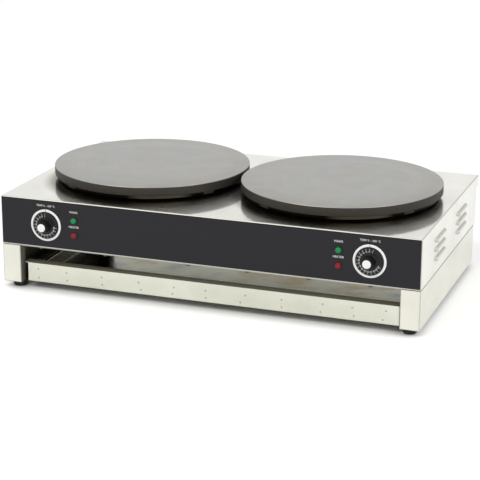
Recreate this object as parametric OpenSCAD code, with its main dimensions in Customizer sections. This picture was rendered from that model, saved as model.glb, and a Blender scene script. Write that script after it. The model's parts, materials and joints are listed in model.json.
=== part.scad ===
// Double crepe maker: a folded steel casing with two cast iron griddle plates,
// on a base frame that holds a sliding warming drawer.
// Millimetres, +Z up, the front faces -Y. The origin is on the table, in the
// middle of the machine's overall length and depth.

/* [Casing] */
// Width over the side panels
casing_w = 854; // [848:1:900]
// Depth of the deck, from the front face to the rear lip
casing_d = 486; // [470:1:540]
// Height from the seam to the deck
casing_h = 99.5; // [92:0.5:130]
// Thickness of the folded steel sheet
sheet_t = 1.2; // [1:0.1:1.5]
// Outer radius of each fold
fold_r = 2.4; // [2:0.1:3]
// Overhang of the deck past the back wall
overhang = 19; // [18:1:30]
// Height of the lip that hangs from the overhang
lip_h = 22; // [15:1:30]
// Width of the inward flange along the front's bottom edge
front_flange = 15; // [12:1:18]
// Width of the inward flange along each side's bottom edge
side_flange = 30; // [26:1:36]
// Width of the inward flange along each side's rear edge
rear_flange = 16; // [14:1:22]

/* [Louvres] */
// Length of one louvre
louvre_l = 80; // [50:1:100]
// Height of one louvre
louvre_h = 9; // [7:0.5:12]
// How far a louvre stands out of the side
louvre_out = 5; // [3:0.5:6]
// Spacing between louvres, one above the other
louvre_pitch = 18.3; // [16:0.1:22]
// Height of the lowest louvre's open edge above the seam
louvre_rise = 26; // [15:1:35]
// Distance from the front face to the middle of the first group
louvre_first_y = 147; // [120:1:170]
// Distance between the middles of the two groups
louvre_group_gap = 185; // [140:1:220]
// Louvres in one group
louvre_rows = 3; // [1:1:3]

/* [Base frame] */
// Height of the base frame
base_h = 78.5; // [76:0.5:110]
// Depth of the base frame
base_d = 456; // [446:1:466]
// Width of each front post
post_w = 39; // [36:1:50]
// Depth of each post's inner return
post_return = 20; // [12:1:22]
// Width of the flange that carries the casing
base_flange = 15; // [12:1:20]
// Height of the rear crossbar
crossbar_h = 18; // [12:1:24]
// Width of the rear crossbar's flanges
crossbar_flange = 12; // [8:1:15]
// Distance from a foot's centre to the outer faces
foot_inset = 24; // [20:0.5:28]

/* [Feet] */
// Height of the rubber feet
foot_h = 12; // [8:0.5:25]
// Diameter of a foot at the top
foot_d = 30; // [24:1:36]
// Diameter of a foot on the table
foot_tip_d = 26; // [20:1:34]
// Diameter of the foot screws
foot_screw_d = 6; // [5:0.5:8]

/* [Bottom cover] */
// Thickness of the bottom cover
cover_t = 1; // [0.8:0.1:1.2]
// Distance from the front face to the front row of cover screws
cover_screw_y = 8; // [7:0.5:9]
// Diameter of the cover and back screws
cover_screw_d = 4; // [3:0.5:4.5]

/* [Griddle plates] */
// Diameter of a griddle plate
plate_d = 400; // [380:1:402]
// Gap between the two plates
plate_gap = 6; // [4:1:16]
// Distance from the front face to the plates' centres
plate_y = 242; // [230:1:255]
// Gap between the deck and the plate's rim
plate_lift = 12; // [11:0.5:20]
// Height of the plate's rim
rim_h = 18; // [17:0.5:26]
// Thickness of the plate's rim
rim_t = 6.6; // [5:0.2:8]
// Thickness of the plate's disc
disc_t = 13; // [10:0.5:13]
// Chamfer round the plate's top edge
plate_chamfer = 1.2; // [0.8:0.1:2]
// Width of the lugs under the rim
lug_w = 25; // [15:1:35]
// Height of the lugs under the rim
lug_h = 7; // [4:0.5:8]
// Angle of the first lug and pillar
pillar_angle = 57; // [50:1:62]
// Radius of the circle of pillars
pillar_ring = 120; // [118:1:122]

/* [Heaters] */
// Diameter of the heating tube
tube_d = 6.6; // [6:0.1:6.8]
// Radius of the outer turn of the heating tube
outer_turn = 160; // [150:1:165]
// Radius of the inner turn of the heating tube
inner_turn = 80; // [72:1:86]
// Distance of the tube's ends from the plate's centre line
tube_leg = 14; // [12:0.5:15]
// Inner bend radius of the heating tube
tube_bend = 12; // [10:0.5:13]
// Thickness of the clamp plate that holds the tube up
clamp_t = 1; // [0.8:0.1:1.5]
// Diameter of the clamp plate
clamp_d = 350; // [340:1:360]
// Thickness of the ceramic wool
wool_t = 4; // [3:0.5:4.5]
// Thickness of the heat pan's sheet
pan_t = 1; // [0.8:0.1:1.2]
// Gap between the plate's rim and the heat pan
pan_gap = 1.4; // [1:0.1:3]
// Diameter of the sensor bulb
bulb_d = 6; // [5:0.5:6]
// Length of the sensor bulb
bulb_l = 70; // [50:1:76]
// Diameter of the sensor's capillary tube
capillary_d = 1.6; // [1.2:0.1:2]

/* [Controls] */
// Distance from the casing's side to each dial
dial_inset = 98; // [82:1:117]
// Height of the dials above the seam
dial_z = 48; // [44:0.5:52]
// Distance between each dial and its pair of lamps
lamp_gap = 60; // [52:1:74]
// Distance between the two lamps of a pair
lamp_pitch = 30; // [24:1:36]
// Diameter of a lamp's lens
lamp_d = 13; // [11:0.5:16]
// Height of a lamp's lens above the panel
lamp_out = 4.5; // [3:0.5:7]
// Outer radius of the dial ring
ring_ro = 33; // [31:0.5:36]
// Inner radius of the dial ring
ring_ri = 27.3; // [27:0.1:29]
// Thickness of the dial ring
ring_t = 1.8; // [1.2:0.1:2.5]
// Radius of the knob's skirt
skirt_r = 26.3; // [24:0.1:26.6]
// Thickness of the knob's skirt
skirt_t = 4; // [3.6:0.1:5]
// Radius of the knob's grip at its foot
grip_r = 13; // [11.5:0.5:14]
// Radius of the knob's grip at its end
grip_end_r = 10.5; // [10:0.5:11]
// Radius of the white cap on the knob
cap_r = 9; // [7:0.5:9.5]
// Distance from the front face to the end of the knob
knob_reach = 24; // [22:0.5:30]
// Grooves round the knob's grip
grip_grooves = 16; // [8:1:20]
// Degrees by which the right knob is turned on from its zero mark
right_knob_turn = 18; // [0:1:240]
// Diameter of the thermostat's shaft
shaft_d = 6; // [5:0.5:7]
// Radial clearance of the shaft in the thermostat
shaft_fit = 0.05; // [0.02:0.01:0.1]
// Thickness of the black front overlay
overlay_t = 0.8; // [0.5:0.1:1.5]
// Bare margin of the front panel beside and above the overlay
overlay_margin = 1.6; // [1:0.1:3]
// Bare margin of the front panel below the overlay
overlay_foot = 3.1; // [2:0.1:5]

/* [Drawer] */
// Gap between the tray's side flanges and the posts
tray_gap = 2.5; // [2:0.1:4]
// Distance from the tray's rear wall to the base frame's rear face
tray_back_gap = 20; // [18:1:60]
// Height of the drawer tray's side and rear walls
tray_h = 15; // [12:0.5:17]
// Height of the drawer tray's front wall
tray_front_h = 30; // [24:0.5:32]
// Running gap between the tray and its rails
run_gap = 0.3; // [0.2:0.1:0.6]
// Width of the rails' legs
rail_leg = 9; // [6:0.5:9.5]
// Set-back of the drawer front from the posts
bar_setback = 10; // [6:0.5:16]
// Height of the drawer front
bar_h = 38; // [36:0.5:44]
// Height of the drawer front's lower edge above the base frame's foot
bar_rise = 3.3; // [2:0.1:4]
// Depth of the drawer front's top flange
bar_flange = 24; // [18:0.5:26]
// Gap between the tray and each post, and between the drawer front and the left post
bar_end_gap = 11; // [10.5:0.5:14]
// Gap between the drawer front and the right post
bar_right_gap = 2.5; // [2:0.1:5]
// Gap between the drawer front's top flange and each post
flange_end_gap = 2; // [1.5:0.1:5]

/* [Back] */
// Distance from the casing's side to each cable gland
gland_inset = 97; // [77:1:120]
// Height of the cable glands above the seam
gland_z = 30; // [26:0.5:36]
// Diameter of the glands' thread
gland_d = 20; // [16:1:22]
// Rows of cooling slots in one field
slot_rows = 5; // [3:1:6]
// Columns of cooling slots in one field
slot_columns = 4; // [2:1:5]
// Length of one cooling slot
slot_l = 38; // [25:1:40]
// Width of one cooling slot
slot_w = 4; // [3:0.5:5]

/* [Hidden] */
$fn = 48;

// Overlap that keeps cuts clear of coincident faces
nib = 1;
half_w = casing_w / 2;
dial_x = half_w - dial_inset;
lamp_x = dial_x - lamp_gap;
gland_x = half_w - gland_inset;
front_y = (knob_reach - casing_d) / 2;
wall_d = casing_d - overhang;
seam_z = foot_h + base_h;
deck_z = seam_z + casing_h;
under_deck_z = deck_z - sheet_t;
post_x = half_w - post_w;

// A louvre is cut from a pod with round ends, whose axis lies behind the panel
louvre_r = (louvre_h * louvre_h + louvre_out * louvre_out) / (2 * louvre_out);
louvre_sink = louvre_r - louvre_out;

// Griddle stack, from the top down
plate_x = (plate_d + plate_gap) / 2;
rim_z = deck_z + plate_lift;
plate_top_z = rim_z + rim_h;
disc_z = plate_top_z - disc_t;
clamp_z = disc_z - tube_d - clamp_t;
wool_z = clamp_z - wool_t;
pan_z = wool_z - pan_t;
rim_ri = plate_d / 2 - rim_t;
pan_r = rim_ri - pan_gap;
tube_z = disc_z - tube_d / 2;
bulb_z = disc_z - bulb_d / 2;
boss_d = 28;
stud_d = 8;
spigot_d = 16;
collar_d = 24;
stud_hole_d = stud_d + 0.6;
spigot_hole_d = spigot_d + 0.6;
washer_t = 1.6;
nut_h = 6.5;
nut_af = 13;
stud_end = 4;
stud_reach = 5;
stud_bore = 7;
plate_fillet = 3;
// The heating tube's cold ends, from the plate's centre
cold_x = 20;
cold_hole_d = tube_d + 2;
cold_pitch = 17;
cold_hole_r = cold_pitch;
cold_reach = 22;
cold_end_z = deck_z - cold_reach;
inner_leg = tube_leg + cold_pitch;
// The sensor bulb lies between the two turns of the heating tube
bulb_x = -(outer_turn + inner_turn) / 2;
elbow_gap = 7;
bulb_elbow_y = -bulb_l / 2 - elbow_gap;
capillary_z = deck_z - 14;
capillary_hole_d = capillary_d + 3;
deck_capillary_hole_d = 8;

// Controls
overlay_y = -overlay_t;
dial_h = seam_z + dial_z;
knob_back_y = overlay_y - 0.5;
knob_face_y = knob_back_y - skirt_t;
cap_t = 1.4;
knob_end_y = -knob_reach;
grip_end_y = knob_end_y + cap_t;
shaft_hole_d = 12;
shaft_out = 15;
shaft_in = 10;
shaft_flat = 1;
screw_span = 28;
screw_d = 4;
screw_head_d = 7;
screw_head_t = 2;
thermostat_w = 36;
thermostat_h = 42;
thermostat_d = 27;
thermostat_spade_x = 10;
spade_w = 6;
spade_t = 0.8;
spade_l = 7;
lamp_body_d = 10;
lamp_body_l = 26;
lamp_spade_x = 2.5;
lamp_dome_r = lamp_d * 0.65;

// Drawer
base_z = foot_h;
rail_z = base_z + sheet_t;
bar_z = base_z + bar_rise;
tray_w = 2 * (post_x - bar_end_gap);
tray_y = bar_setback + sheet_t;
tray_z = bar_z + fold_r;
tray_d = base_d - tray_back_gap - tray_y;
bar_return = 12;
rail_y = bar_setback + bar_flange + 2;
rail_l = base_d - 2 * sheet_t - rail_y;
rail_head = 2.5;
tray_top_z = tray_z + tray_h;
rail_top_z = tray_top_z + rail_head + sheet_t;
rail_foot = 8;

// Places of the cover screws from left to right, as shares of half the width
cover_screw_shares = [-0.808, -0.485, -0.077, 0.206, 0.489, 0.773];
cover_end_gap = 0.5;
vent_rows = 7;
vent_l = 120;
vent_w = 6;
vent_pitch = 22;
cover_head_t = 2.2;
cover_head_d = 2 * cover_screw_d;
cover_w = casing_w - 2 * (base_flange + 1);
cover_notch = 1.5;
foot_head_d = 12;
foot_head_t = 4;
foot_pocket_d = foot_head_d + 2;
foot_web = 5;
foot_nut_h = 5;
foot_nut_af = 10;
rear_top_gap = 0.5;
rear_flange_d = 30;
rear_screw_inset = 8;
rear_screw_rise = 12;
slot_gap_x = 10;
slot_gap_z = 6;
slot_field_gap = 60;
slot_field_rise = 25;
gland_hex = 27;
gland_hex_t = 6;
gland_cap_l = 11;
gland_bore_d = 10;
gland_thread_l = 12;
gland_nut_t = 5;
block_w = 48;
block_d = 26;
block_h = 22;
block_y = wall_d - 95;
pole_drop = 7;
pole_d = 5;
pole_screw_d = 4;
loom_d = 5;
loom_run = 60;

steel = "#d6d6cf";
dark_steel = "#8d8c86";

// Puts y = 0 at the front face, with y growing towards the back
module from_front()
  translate([0, front_y, 0]) children();

// Repeats a part at the middle of the left (-1) or right (1) plate, with the
// heating tube's ends towards the middle of the machine
module at_plate(side)
  from_front() translate([side * plate_x, plate_y, 0]) rotate(side > 0 ? 180 : 0) children();

module at_pillars(radius = pillar_ring)
  for (turn = [0:3]) rotate(pillar_angle + 90 * turn) translate([radius, 0, 0]) children();

module at_dial(side)
  from_front() translate([side * dial_x, 0, dial_h]) rotate([90, 0, 0]) children();

module at_knob(side)
  at_dial(side) rotate(side > 0 ? -right_knob_turn : 0) children();

module at_thermostat_screws()
  for (end = [-1, 1]) translate([end * screw_span / 2, 0, 0]) children();

// Places a lamp: row 1 is the upper lamp, row -1 the lower one
module at_lamp(side, row)
  from_front() translate([side * lamp_x, 0, dial_h + row * lamp_pitch / 2]) rotate([90, 0, 0]) children();

module at_feet()
  for (side = [-1, 1], rear = [0, 1]) at_foot(side, rear) children();

module at_foot(side, rear)
  from_front()
    translate([side * (half_w - foot_inset), rear ? base_d - foot_inset : foot_inset, 0]) children();

// Rectangle from the origin, with all four corners rounded
module round_square(size, r) {
  translate([r, 0]) square([size.x - 2 * r, size.y]);
  translate([0, r]) square([size.x, size.y - 2 * r]);
  for (x = [r, size.x - r], y = [r, size.y - r]) translate([x, y]) circle(r);
}

module hexagon(flats, h)
  cylinder(d = flats / cos(30), h = h, $fn = 6);

module slot(length, width, h) {
  cube([length - width, width, h], center = true);
  for (end = [-1, 1]) translate([end * (length - width) / 2, 0, 0]) cylinder(d = width, h = h, center = true);
}

function unit(v) = v / norm(v);
function heading(path, i) = unit(path[min(i + 1, len(path) - 1)] - path[max(i - 1, 0)]);
function square_to(v, along) = unit(v - (v * along) * along);

// One vector across the path at each point, carried along it without twist
function across(path) = [
  for (i = 0, v = square_to([0.3, 0.2, 1], heading(path, 0)); i < len(path);
    v = square_to(v, heading(path, i + 1)), i = i + 1) v
];

// Rounds the corners of a route by cutting each of them back
function rounded(path, passes = 2) = passes == 0 ? path : rounded(concat(
  [path[0]],
  [for (i = [0:len(path) - 2], share = [0.25, 0.75]) path[i] * (1 - share) + path[i + 1] * share],
  [path[len(path) - 1]]
), passes - 1);

// A solid tube with sides flats, swept along a path
module tube_along(path, d, sides = 8) {
  v = across(path);
  rings = len(path);
  function spot(i, turn) = path[i] + (v[i] * cos(turn) + cross(heading(path, i), v[i]) * sin(turn)) * d / 2;
  polyhedron(
    points = [for (i = [0:rings - 1], k = [0:sides - 1]) spot(i, k * 360 / sides)],
    faces = concat(
      [[for (k = [0:sides - 1]) k]],
      [for (i = [0:rings - 2], k = [0:sides - 1])
        [i * sides + k, (i + 1) * sides + k, (i + 1) * sides + (k + 1) % sides, i * sides + (k + 1) % sides]],
      [[for (k = [sides - 1:-1:0]) (rings - 1) * sides + k]]
    )
  );
}

// ---- Casing ----

// Block from the origin, with all its edges rounded
module round_block(size, r)
  intersection() {
    linear_extrude(size.z) round_square([size.x, size.y], r);
    rotate([90, 0, 90]) linear_extrude(size.x) round_square([size.y, size.z], r);
    translate([0, size.y, 0]) rotate([90, 0, 0]) linear_extrude(size.y) round_square([size.x, size.z], r);
  }

// Closed box of sheet, folded along all its edges
module sheet_box(size)
  difference() {
    round_block(size, fold_r);
    translate([sheet_t, sheet_t, sheet_t])
      round_block([size.x - 2 * sheet_t, size.y - 2 * sheet_t, size.z - 2 * sheet_t], fold_r - sheet_t);
  }

module louvre_pod(r) {
  reach = louvre_l / 2 - louvre_h;
  translate([-louvre_sink, 0, 0]) {
    rotate([90, 0, 0]) cylinder(r = r, h = 2 * reach, center = true);
    for (end = [-1, 1]) translate([0, end * reach, 0]) sphere(r);
  }
}

module louvre_hood()
  intersection() {
    difference() {
      louvre_pod(louvre_r);
      louvre_pod(louvre_r - sheet_t);
    }
    translate([-sheet_t, -louvre_l / 2, 0]) cube([sheet_t + louvre_out, louvre_l, louvre_h]);
  }

module louvre_mouth()
  intersection() {
    louvre_pod(louvre_r - sheet_t);
    translate([-sheet_t - nib, -louvre_l / 2, 0]) cube([sheet_t + 2 * nib, louvre_l, louvre_h]);
  }

module at_louvres()
  for (side = [0, 1], group = [0, 1], row = [0:louvre_rows - 1])
    mirror([side, 0, 0])
      translate([half_w, louvre_first_y + group * louvre_group_gap, louvre_rise + row * louvre_pitch])
        children();

// Inward flanges along the side walls' rear edges
module rear_flanges()
  for (side = [0, 1]) mirror([side, 0, 0])
    translate([half_w - rear_flange, wall_d - 2 * sheet_t, sheet_t])
      cube([rear_flange - sheet_t, sheet_t, casing_h - 2 * sheet_t]);

// What passes through the deck under each plate
module deck_holes()
  for (side = [-1, 1]) at_plate(side) translate([0, 0, under_deck_z - nib]) {
    at_pillars() cylinder(d = stud_hole_d, h = sheet_t + 2 * nib);
    translate([cold_x, -(tube_leg + inner_leg) / 2, 0]) cylinder(r = cold_hole_r, h = sheet_t + 2 * nib);
    translate([bulb_x, bulb_elbow_y, 0]) cylinder(d = deck_capillary_hole_d, h = sheet_t + 2 * nib);
  }

// What passes through the front panel, and through the overlay on it
module panel_holes(screw_hole_d) {
  depth = 2 * (sheet_t + nib);
  for (side = [-1, 1]) {
    at_dial(side) {
      cylinder(d = shaft_hole_d, h = depth, center = true);
      at_thermostat_screws() cylinder(d = screw_hole_d, h = depth, center = true);
    }
    for (row = [-1, 1]) at_lamp(side, row) cylinder(d = lamp_body_d, h = depth, center = true);
  }
}

module at_cover_screws()
  for (share = cover_screw_shares)
    from_front() translate([share * half_w, cover_screw_y, seam_z - cover_t]) children();

module cover_screw_holes()
  at_cover_screws() translate([0, 0, -nib]) cylinder(d = cover_screw_d, h = cover_t + sheet_t + 2 * nib);

module at_rear_screws()
  for (side = [-1, 1], z = [seam_z + rear_screw_rise, deck_z - lip_h - rear_screw_inset])
    from_front() translate([side * (half_w - rear_screw_inset), wall_d, z]) rotate([90, 0, 0]) children();

module top_casing()
  color(steel) difference() {
    from_front() translate([0, 0, seam_z]) {
      difference() {
        translate([-half_w, 0, 0]) sheet_box([casing_w, casing_d, casing_h]);
        // Open bottom between the flanges
        translate([side_flange - half_w, front_flange, -nib])
          cube([casing_w - 2 * side_flange, casing_d, sheet_t + 2 * nib]);
        // Room for the rear cover between the side walls
        translate([sheet_t - half_w, wall_d - sheet_t, -nib])
          cube([casing_w - 2 * sheet_t, sheet_t + nib, fold_r + nib]);
        // Back wall, open below the overhang's lip
        translate([-half_w - nib, wall_d, -nib])
          cube([casing_w + 2 * nib, overhang + nib, casing_h - lip_h + nib]);
        at_louvres() louvre_mouth();
      }
      at_louvres() louvre_hood();
      rear_flanges();
    }
    deck_holes();
    panel_holes(screw_d);
    cover_screw_holes();
    at_rear_screws() cylinder(d = cover_screw_d, h = 4 * sheet_t + nib, center = true);
  }

module front_overlay() {
  w = casing_w - 2 * overlay_margin;
  color("#2c2d2f") difference() {
    from_front() translate([-w / 2, -overlay_t, seam_z + overlay_foot])
      cube([w, overlay_t, casing_h - overlay_foot - overlay_margin]);
    panel_holes(screw_head_d + 1);
  }
}

// ---- Back and bottom covers ----

module rear_cover() {
  h = casing_h - sheet_t - rear_top_gap;
  flange_w = casing_w - 2 * (side_flange + 1);
  color(steel) difference() {
    from_front() translate([0, wall_d - sheet_t, seam_z]) {
      translate([-half_w + sheet_t, 0, sheet_t]) cube([casing_w - 2 * sheet_t, sheet_t, h - sheet_t]);
      translate([-flange_w / 2, -rear_flange_d, 0]) cube([flange_w, rear_flange_d + sheet_t, sheet_t]);
    }
    cooling_slots();
    for (side = [-1, 1]) at_gland(side) cylinder(d = gland_d, h = 4 * sheet_t, center = true);
    at_rear_screws() cylinder(d = cover_screw_d, h = 4 * sheet_t, center = true);
  }
}

module cooling_slots()
  for (side = [-1, 1], column = [0:slot_columns - 1], row = [0:slot_rows - 1])
    from_front()
      translate([
        side * (gland_x - slot_field_gap - slot_l / 2 - column * (slot_l + slot_gap_x)),
        wall_d,
        seam_z + slot_field_rise + row * (slot_w + slot_gap_z),
      ])
        rotate([90, 0, 0]) slot(slot_l, slot_w, 4 * sheet_t);

module at_gland(side)
  from_front() translate([side * gland_x, wall_d, seam_z + gland_z]) rotate([-90, 0, 0]) children();

module bottom_cover() {
  cover_d = base_d - 2 * (fold_r + cover_end_gap);
  color(steel) difference() {
    from_front() translate([0, 0, seam_z - cover_t]) difference() {
      translate([-cover_w / 2, fold_r + cover_end_gap, 0]) cube([cover_w, cover_d, cover_t]);
      for (side = [0, 1]) mirror([side, 0, 0])
        translate([post_x - cover_notch, -nib, -nib])
          cube([post_w, post_return + cover_notch + nib, cover_t + 2 * nib]);
      for (side = [-1, 1], row = [0:vent_rows - 1])
        translate([side * plate_x, plate_y + (row - (vent_rows - 1) / 2) * vent_pitch, 0])
          slot(vent_l, vent_w, 3 * cover_t);
    }
    cover_screw_holes();
  }
}

// ---- Base frame ----

// The inner side is open behind the front post's return, and so is the top inside its flange
module base_side()
  color(steel) difference() {
    from_front() translate([post_x, 0, base_z]) difference() {
      sheet_box([post_w, base_d, base_h]);
      translate([-nib, post_return, -nib]) cube([fold_r + nib, base_d, base_h + 2 * nib]);
      translate([-nib, post_return, base_h - sheet_t - nib])
        cube([post_w - base_flange + nib, base_d - post_return - fold_r, sheet_t + 2 * nib]);
    }
    at_feet() translate([0, 0, base_z - nib]) cylinder(d = foot_screw_d, h = sheet_t + 2 * nib);
  }

// A channel across the back, spot-welded to the sides' rear posts
module base_crossbar() {
  w = casing_w - 2 * fold_r;
  flange_w = 2 * (post_x - rail_leg - 1);
  color(steel) from_front() translate([0, base_d - 2 * sheet_t, base_z + fold_r]) {
    translate([-w / 2, 0, 0]) cube([w, sheet_t, crossbar_h]);
    for (z = [0, crossbar_h - sheet_t])
      translate([-flange_w / 2, -crossbar_flange, z]) cube([flange_w, crossbar_flange, sheet_t]);
  }
}

module foot()
  color("#1b1b1b") rotate_extrude() difference() {
    polygon([
      [foot_screw_d / 2, 0], [foot_tip_d / 2 - 1.5, 0], [foot_tip_d / 2, 1.5],
      [foot_d / 2, foot_h - 2], [foot_d / 2, foot_h], [foot_screw_d / 2, foot_h],
    ]);
    translate([0, -nib]) square([foot_pocket_d / 2, foot_h - foot_web + nib]);
  }

module foot_screws()
  color("#a9aaa8") at_feet() {
    translate([0, 0, foot_h - foot_web - foot_head_t]) cylinder(d = foot_head_d, h = foot_head_t);
    translate([0, 0, foot_h - foot_web]) cylinder(d = foot_screw_d, h = foot_web + sheet_t + foot_nut_h + 2);
  }

module foot_nuts()
  color("#a9aaa8") at_feet() translate([0, 0, base_z + sheet_t]) difference() {
    hexagon(foot_nut_af, foot_nut_h);
    translate([0, 0, -nib]) cylinder(d = foot_screw_d, h = foot_nut_h + 2 * nib);
  }

// Round-headed screw along Z, with its head's underside at z = 0 and its shank above
module pan_screw(d, length, head_d, head_t) {
  cylinder(d = d, h = length);
  translate([0, 0, -head_t]) rotate_extrude() intersection() {
    translate([0, head_t * 1.5]) circle(head_t * 1.5);
    square([head_d / 2, head_t]);
  }
}

module cover_screws()
  color("#b9b9b2") at_cover_screws()
    pan_screw(cover_screw_d, cover_t + sheet_t + 5, cover_head_d, cover_head_t);

module rear_screws()
  color("#b9b9b2") at_rear_screws()
    pan_screw(cover_screw_d, 2 * sheet_t + 5, cover_head_d, cover_head_t);

// ---- Drawer ----

// C-shaped rail with a foot on the base side's flange, which takes the tray's flange
module drawer_rail()
  color(dark_steel) from_front() translate([post_x, rail_y + rail_l, 0])
    rotate([90, 0, 0]) linear_extrude(rail_l) {
      translate([0, rail_z]) square([rail_foot, sheet_t]);
      translate([0, rail_z]) square([sheet_t, rail_top_z - rail_z]);
      for (z = [tray_top_z - 2 * sheet_t - run_gap, rail_top_z - sheet_t])
        translate([-rail_leg, z]) square([rail_leg, sheet_t]);
    }

module drawer_tray() {
  flange_y = rail_y - tray_y;
  color(steel) from_front() translate([0, tray_y, tray_z]) {
    difference() {
      translate([-tray_w / 2, 0, 0]) cube([tray_w, tray_d, tray_h]);
      translate([-tray_w / 2 + sheet_t, sheet_t, sheet_t])
        cube([tray_w - 2 * sheet_t, tray_d - 2 * sheet_t, tray_h]);
    }
    translate([-tray_w / 2, 0, 0]) cube([tray_w, sheet_t, tray_front_h]);
    for (side = [0, 1]) mirror([side, 0, 0])
      translate([tray_w / 2, flange_y, tray_h - sheet_t])
        cube([bar_end_gap - tray_gap, tray_d - flange_y, sheet_t]);
  }
}

// A folded channel in front of the tray, spot-welded to the tray's front wall
module drawer_front() {
  bar_w = tray_w / 2 + post_x - bar_right_gap;
  flange_w = 2 * (post_x - flange_end_gap);
  color(steel) from_front() translate([0, bar_setback, bar_z]) {
    translate([-tray_w / 2, 0, 0]) rotate([90, 0, 90]) linear_extrude(bar_w) difference() {
      round_square([bar_flange, bar_h], fold_r);
      translate([sheet_t, sheet_t])
        round_square([bar_flange - 2 * sheet_t, bar_h - 2 * sheet_t], fold_r - sheet_t);
      translate([bar_flange - fold_r, -nib]) square([fold_r + nib, bar_h + 2 * nib]);
      translate([bar_return, -nib]) square([bar_flange, bar_h / 2]);
    }
    translate([-flange_w / 2, fold_r, bar_h - sheet_t]) cube([flange_w, bar_flange - fold_r, sheet_t]);
  }
}

// ---- Griddle plates and what heats them ----

module griddle_plate()
  color("#6b6862") {
    difference() {
      rotate_extrude($fn = 96) polygon([
        [0, disc_z], [rim_ri - plate_fillet, disc_z], [rim_ri, disc_z - plate_fillet],
        [rim_ri, rim_z + 0.5], [rim_ri + 0.5, rim_z],
        [plate_d / 2 - 1, rim_z], [plate_d / 2, rim_z + 1],
        [plate_d / 2, plate_top_z - plate_chamfer], [plate_d / 2 - plate_chamfer, plate_top_z],
        [0, plate_top_z],
      ]);
      at_pillars() translate([0, 0, clamp_z]) cylinder(d = stud_d, h = disc_z + stud_bore - clamp_z);
    }
    at_pillars() translate([0, 0, disc_z - tube_d]) difference() {
      cylinder(d = boss_d, h = tube_d);
      translate([0, 0, -nib]) cylinder(d = stud_d, h = tube_d + 2 * nib);
    }
    at_pillars(0) intersection() {
      translate([0, 0, rim_z - lug_h]) difference() {
        cylinder(r = plate_d / 2 - 2, h = lug_h);
        translate([0, 0, -nib]) cylinder(r = rim_ri + 1, h = lug_h + 2 * nib);
      }
      translate([0, -lug_w / 2, rim_z - lug_h]) cube([plate_d, lug_w, lug_h]);
    }
  }

// Tubular element: two turns in one length of tube, with its two cold ends side by side.
// The legs to the outer turn lie at -tube_leg and +tube_leg, the inner turn's own leg below them.

// Points of an arc, flat at z = 0
function arc_points(middle, radius, from, to, step = 15) = let (count = ceil(abs(to - from) / step))
  [for (i = [0:count]) let (turn = from + (to - from) * i / count)
    [middle.x + radius * cos(turn), middle.y + radius * sin(turn), 0]];

// A cold end, from below the deck up to the bend into its leg at y
function cold_points(y) = concat(
  [[cold_x, y, cold_end_z - tube_z]],
  [for (turn = [180:-22.5:90]) [cold_x + tube_bend * (1 + cos(turn)), y, tube_bend * (sin(turn) - 1)]]
);

function reversed(path) = [for (i = [len(path) - 1:-1:0]) path[i]];

// Where a bend of tube_bend joins a turn to a leg at distance leg from the centre line
function bend_x(reach, leg) = sqrt(pow(reach, 2) - pow(leg + tube_bend, 2));

function heating_path() =
  let (
    outer_x = bend_x(outer_turn - tube_bend, tube_leg),
    outer_meet = atan2(tube_leg + tube_bend, outer_x),
    inner_x = bend_x(inner_turn + tube_bend, tube_leg),
    inner_meet = atan2(tube_leg + tube_bend, inner_x),
    end_x = bend_x(inner_turn - tube_bend, inner_leg),
    end_meet = atan2(inner_leg + tube_bend, end_x)
  ) concat(
    cold_points(-tube_leg),
    arc_points([outer_x, -tube_leg - tube_bend], tube_bend, 90, -outer_meet + 20, 30),
    arc_points([0, 0], outer_turn, -outer_meet, outer_meet - 360),
    arc_points([outer_x, tube_leg + tube_bend], tube_bend, outer_meet - 20, -90, 30),
    arc_points([inner_x, tube_leg + tube_bend], tube_bend, -90, inner_meet - 160, 30),
    arc_points([0, 0], inner_turn, inner_meet, 360 - end_meet),
    arc_points([end_x, -inner_leg - tube_bend], tube_bend, 20 - end_meet, 90, 30),
    reversed(cold_points(-inner_leg))
  );

module element(side)
  color("#5d5f63") at_plate(side) translate([0, 0, tube_z]) tube_along(heating_path(), tube_d);

// A disc under the plate, with holes for the pillars and the sensor
module stack_disc(z, d, h)
  translate([0, 0, z]) difference() {
    cylinder(d = d, h = h);
    translate([0, 0, -nib]) {
      at_pillars() cylinder(d = spigot_hole_d, h = h + 2 * nib);
      translate([bulb_x, bulb_elbow_y, 0]) cylinder(d = capillary_hole_d, h = h + 2 * nib);
    }
  }

// Room for the heating tube's cold ends where they bend down
module cold_window()
  translate([cold_x - cold_hole_d / 2, -inner_leg - cold_hole_d / 2, wool_z - nib])
    cube([tube_bend + cold_hole_d, cold_pitch + cold_hole_d, tube_z - wool_z]);

module clamp_plate(side)
  color("#9a9b99") at_plate(side) difference() {
    stack_disc(clamp_z, clamp_d, clamp_t);
    cold_window();
  }

module insulation(side)
  color("#e9e7df") at_plate(side) difference() {
    stack_disc(wool_z, 2 * (pan_r - pan_t) - 1, wool_t);
    cold_window();
  }

module heat_pan(side)
  color("#8f8d86") at_plate(side) {
    difference() {
      stack_disc(pan_z, 2 * pan_r, pan_t);
      for (y = [-tube_leg, -inner_leg]) translate([cold_x, y, pan_z - nib])
        cylinder(d = cold_hole_d, h = pan_t + 2 * nib);
    }
    translate([0, 0, pan_z]) difference() {
      cylinder(r = pan_r, h = disc_z - plate_fillet - pan_z, $fn = 96);
      translate([0, 0, -nib]) cylinder(r = pan_r - pan_t, h = disc_z - pan_z + nib, $fn = 96);
    }
  }

// Shouldered pillar: collar on the deck, spigot up to the plate's boss, stud through both
module pillar() {
  stud_low = under_deck_z - washer_t - nut_h - stud_end;
  translate([0, 0, deck_z]) cylinder(d = collar_d, h = pan_z - deck_z);
  translate([0, 0, pan_z]) cylinder(d = spigot_d, h = disc_z - tube_d - pan_z);
  translate([0, 0, stud_low]) cylinder(d = stud_d, h = disc_z + stud_reach - stud_low);
}

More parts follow.
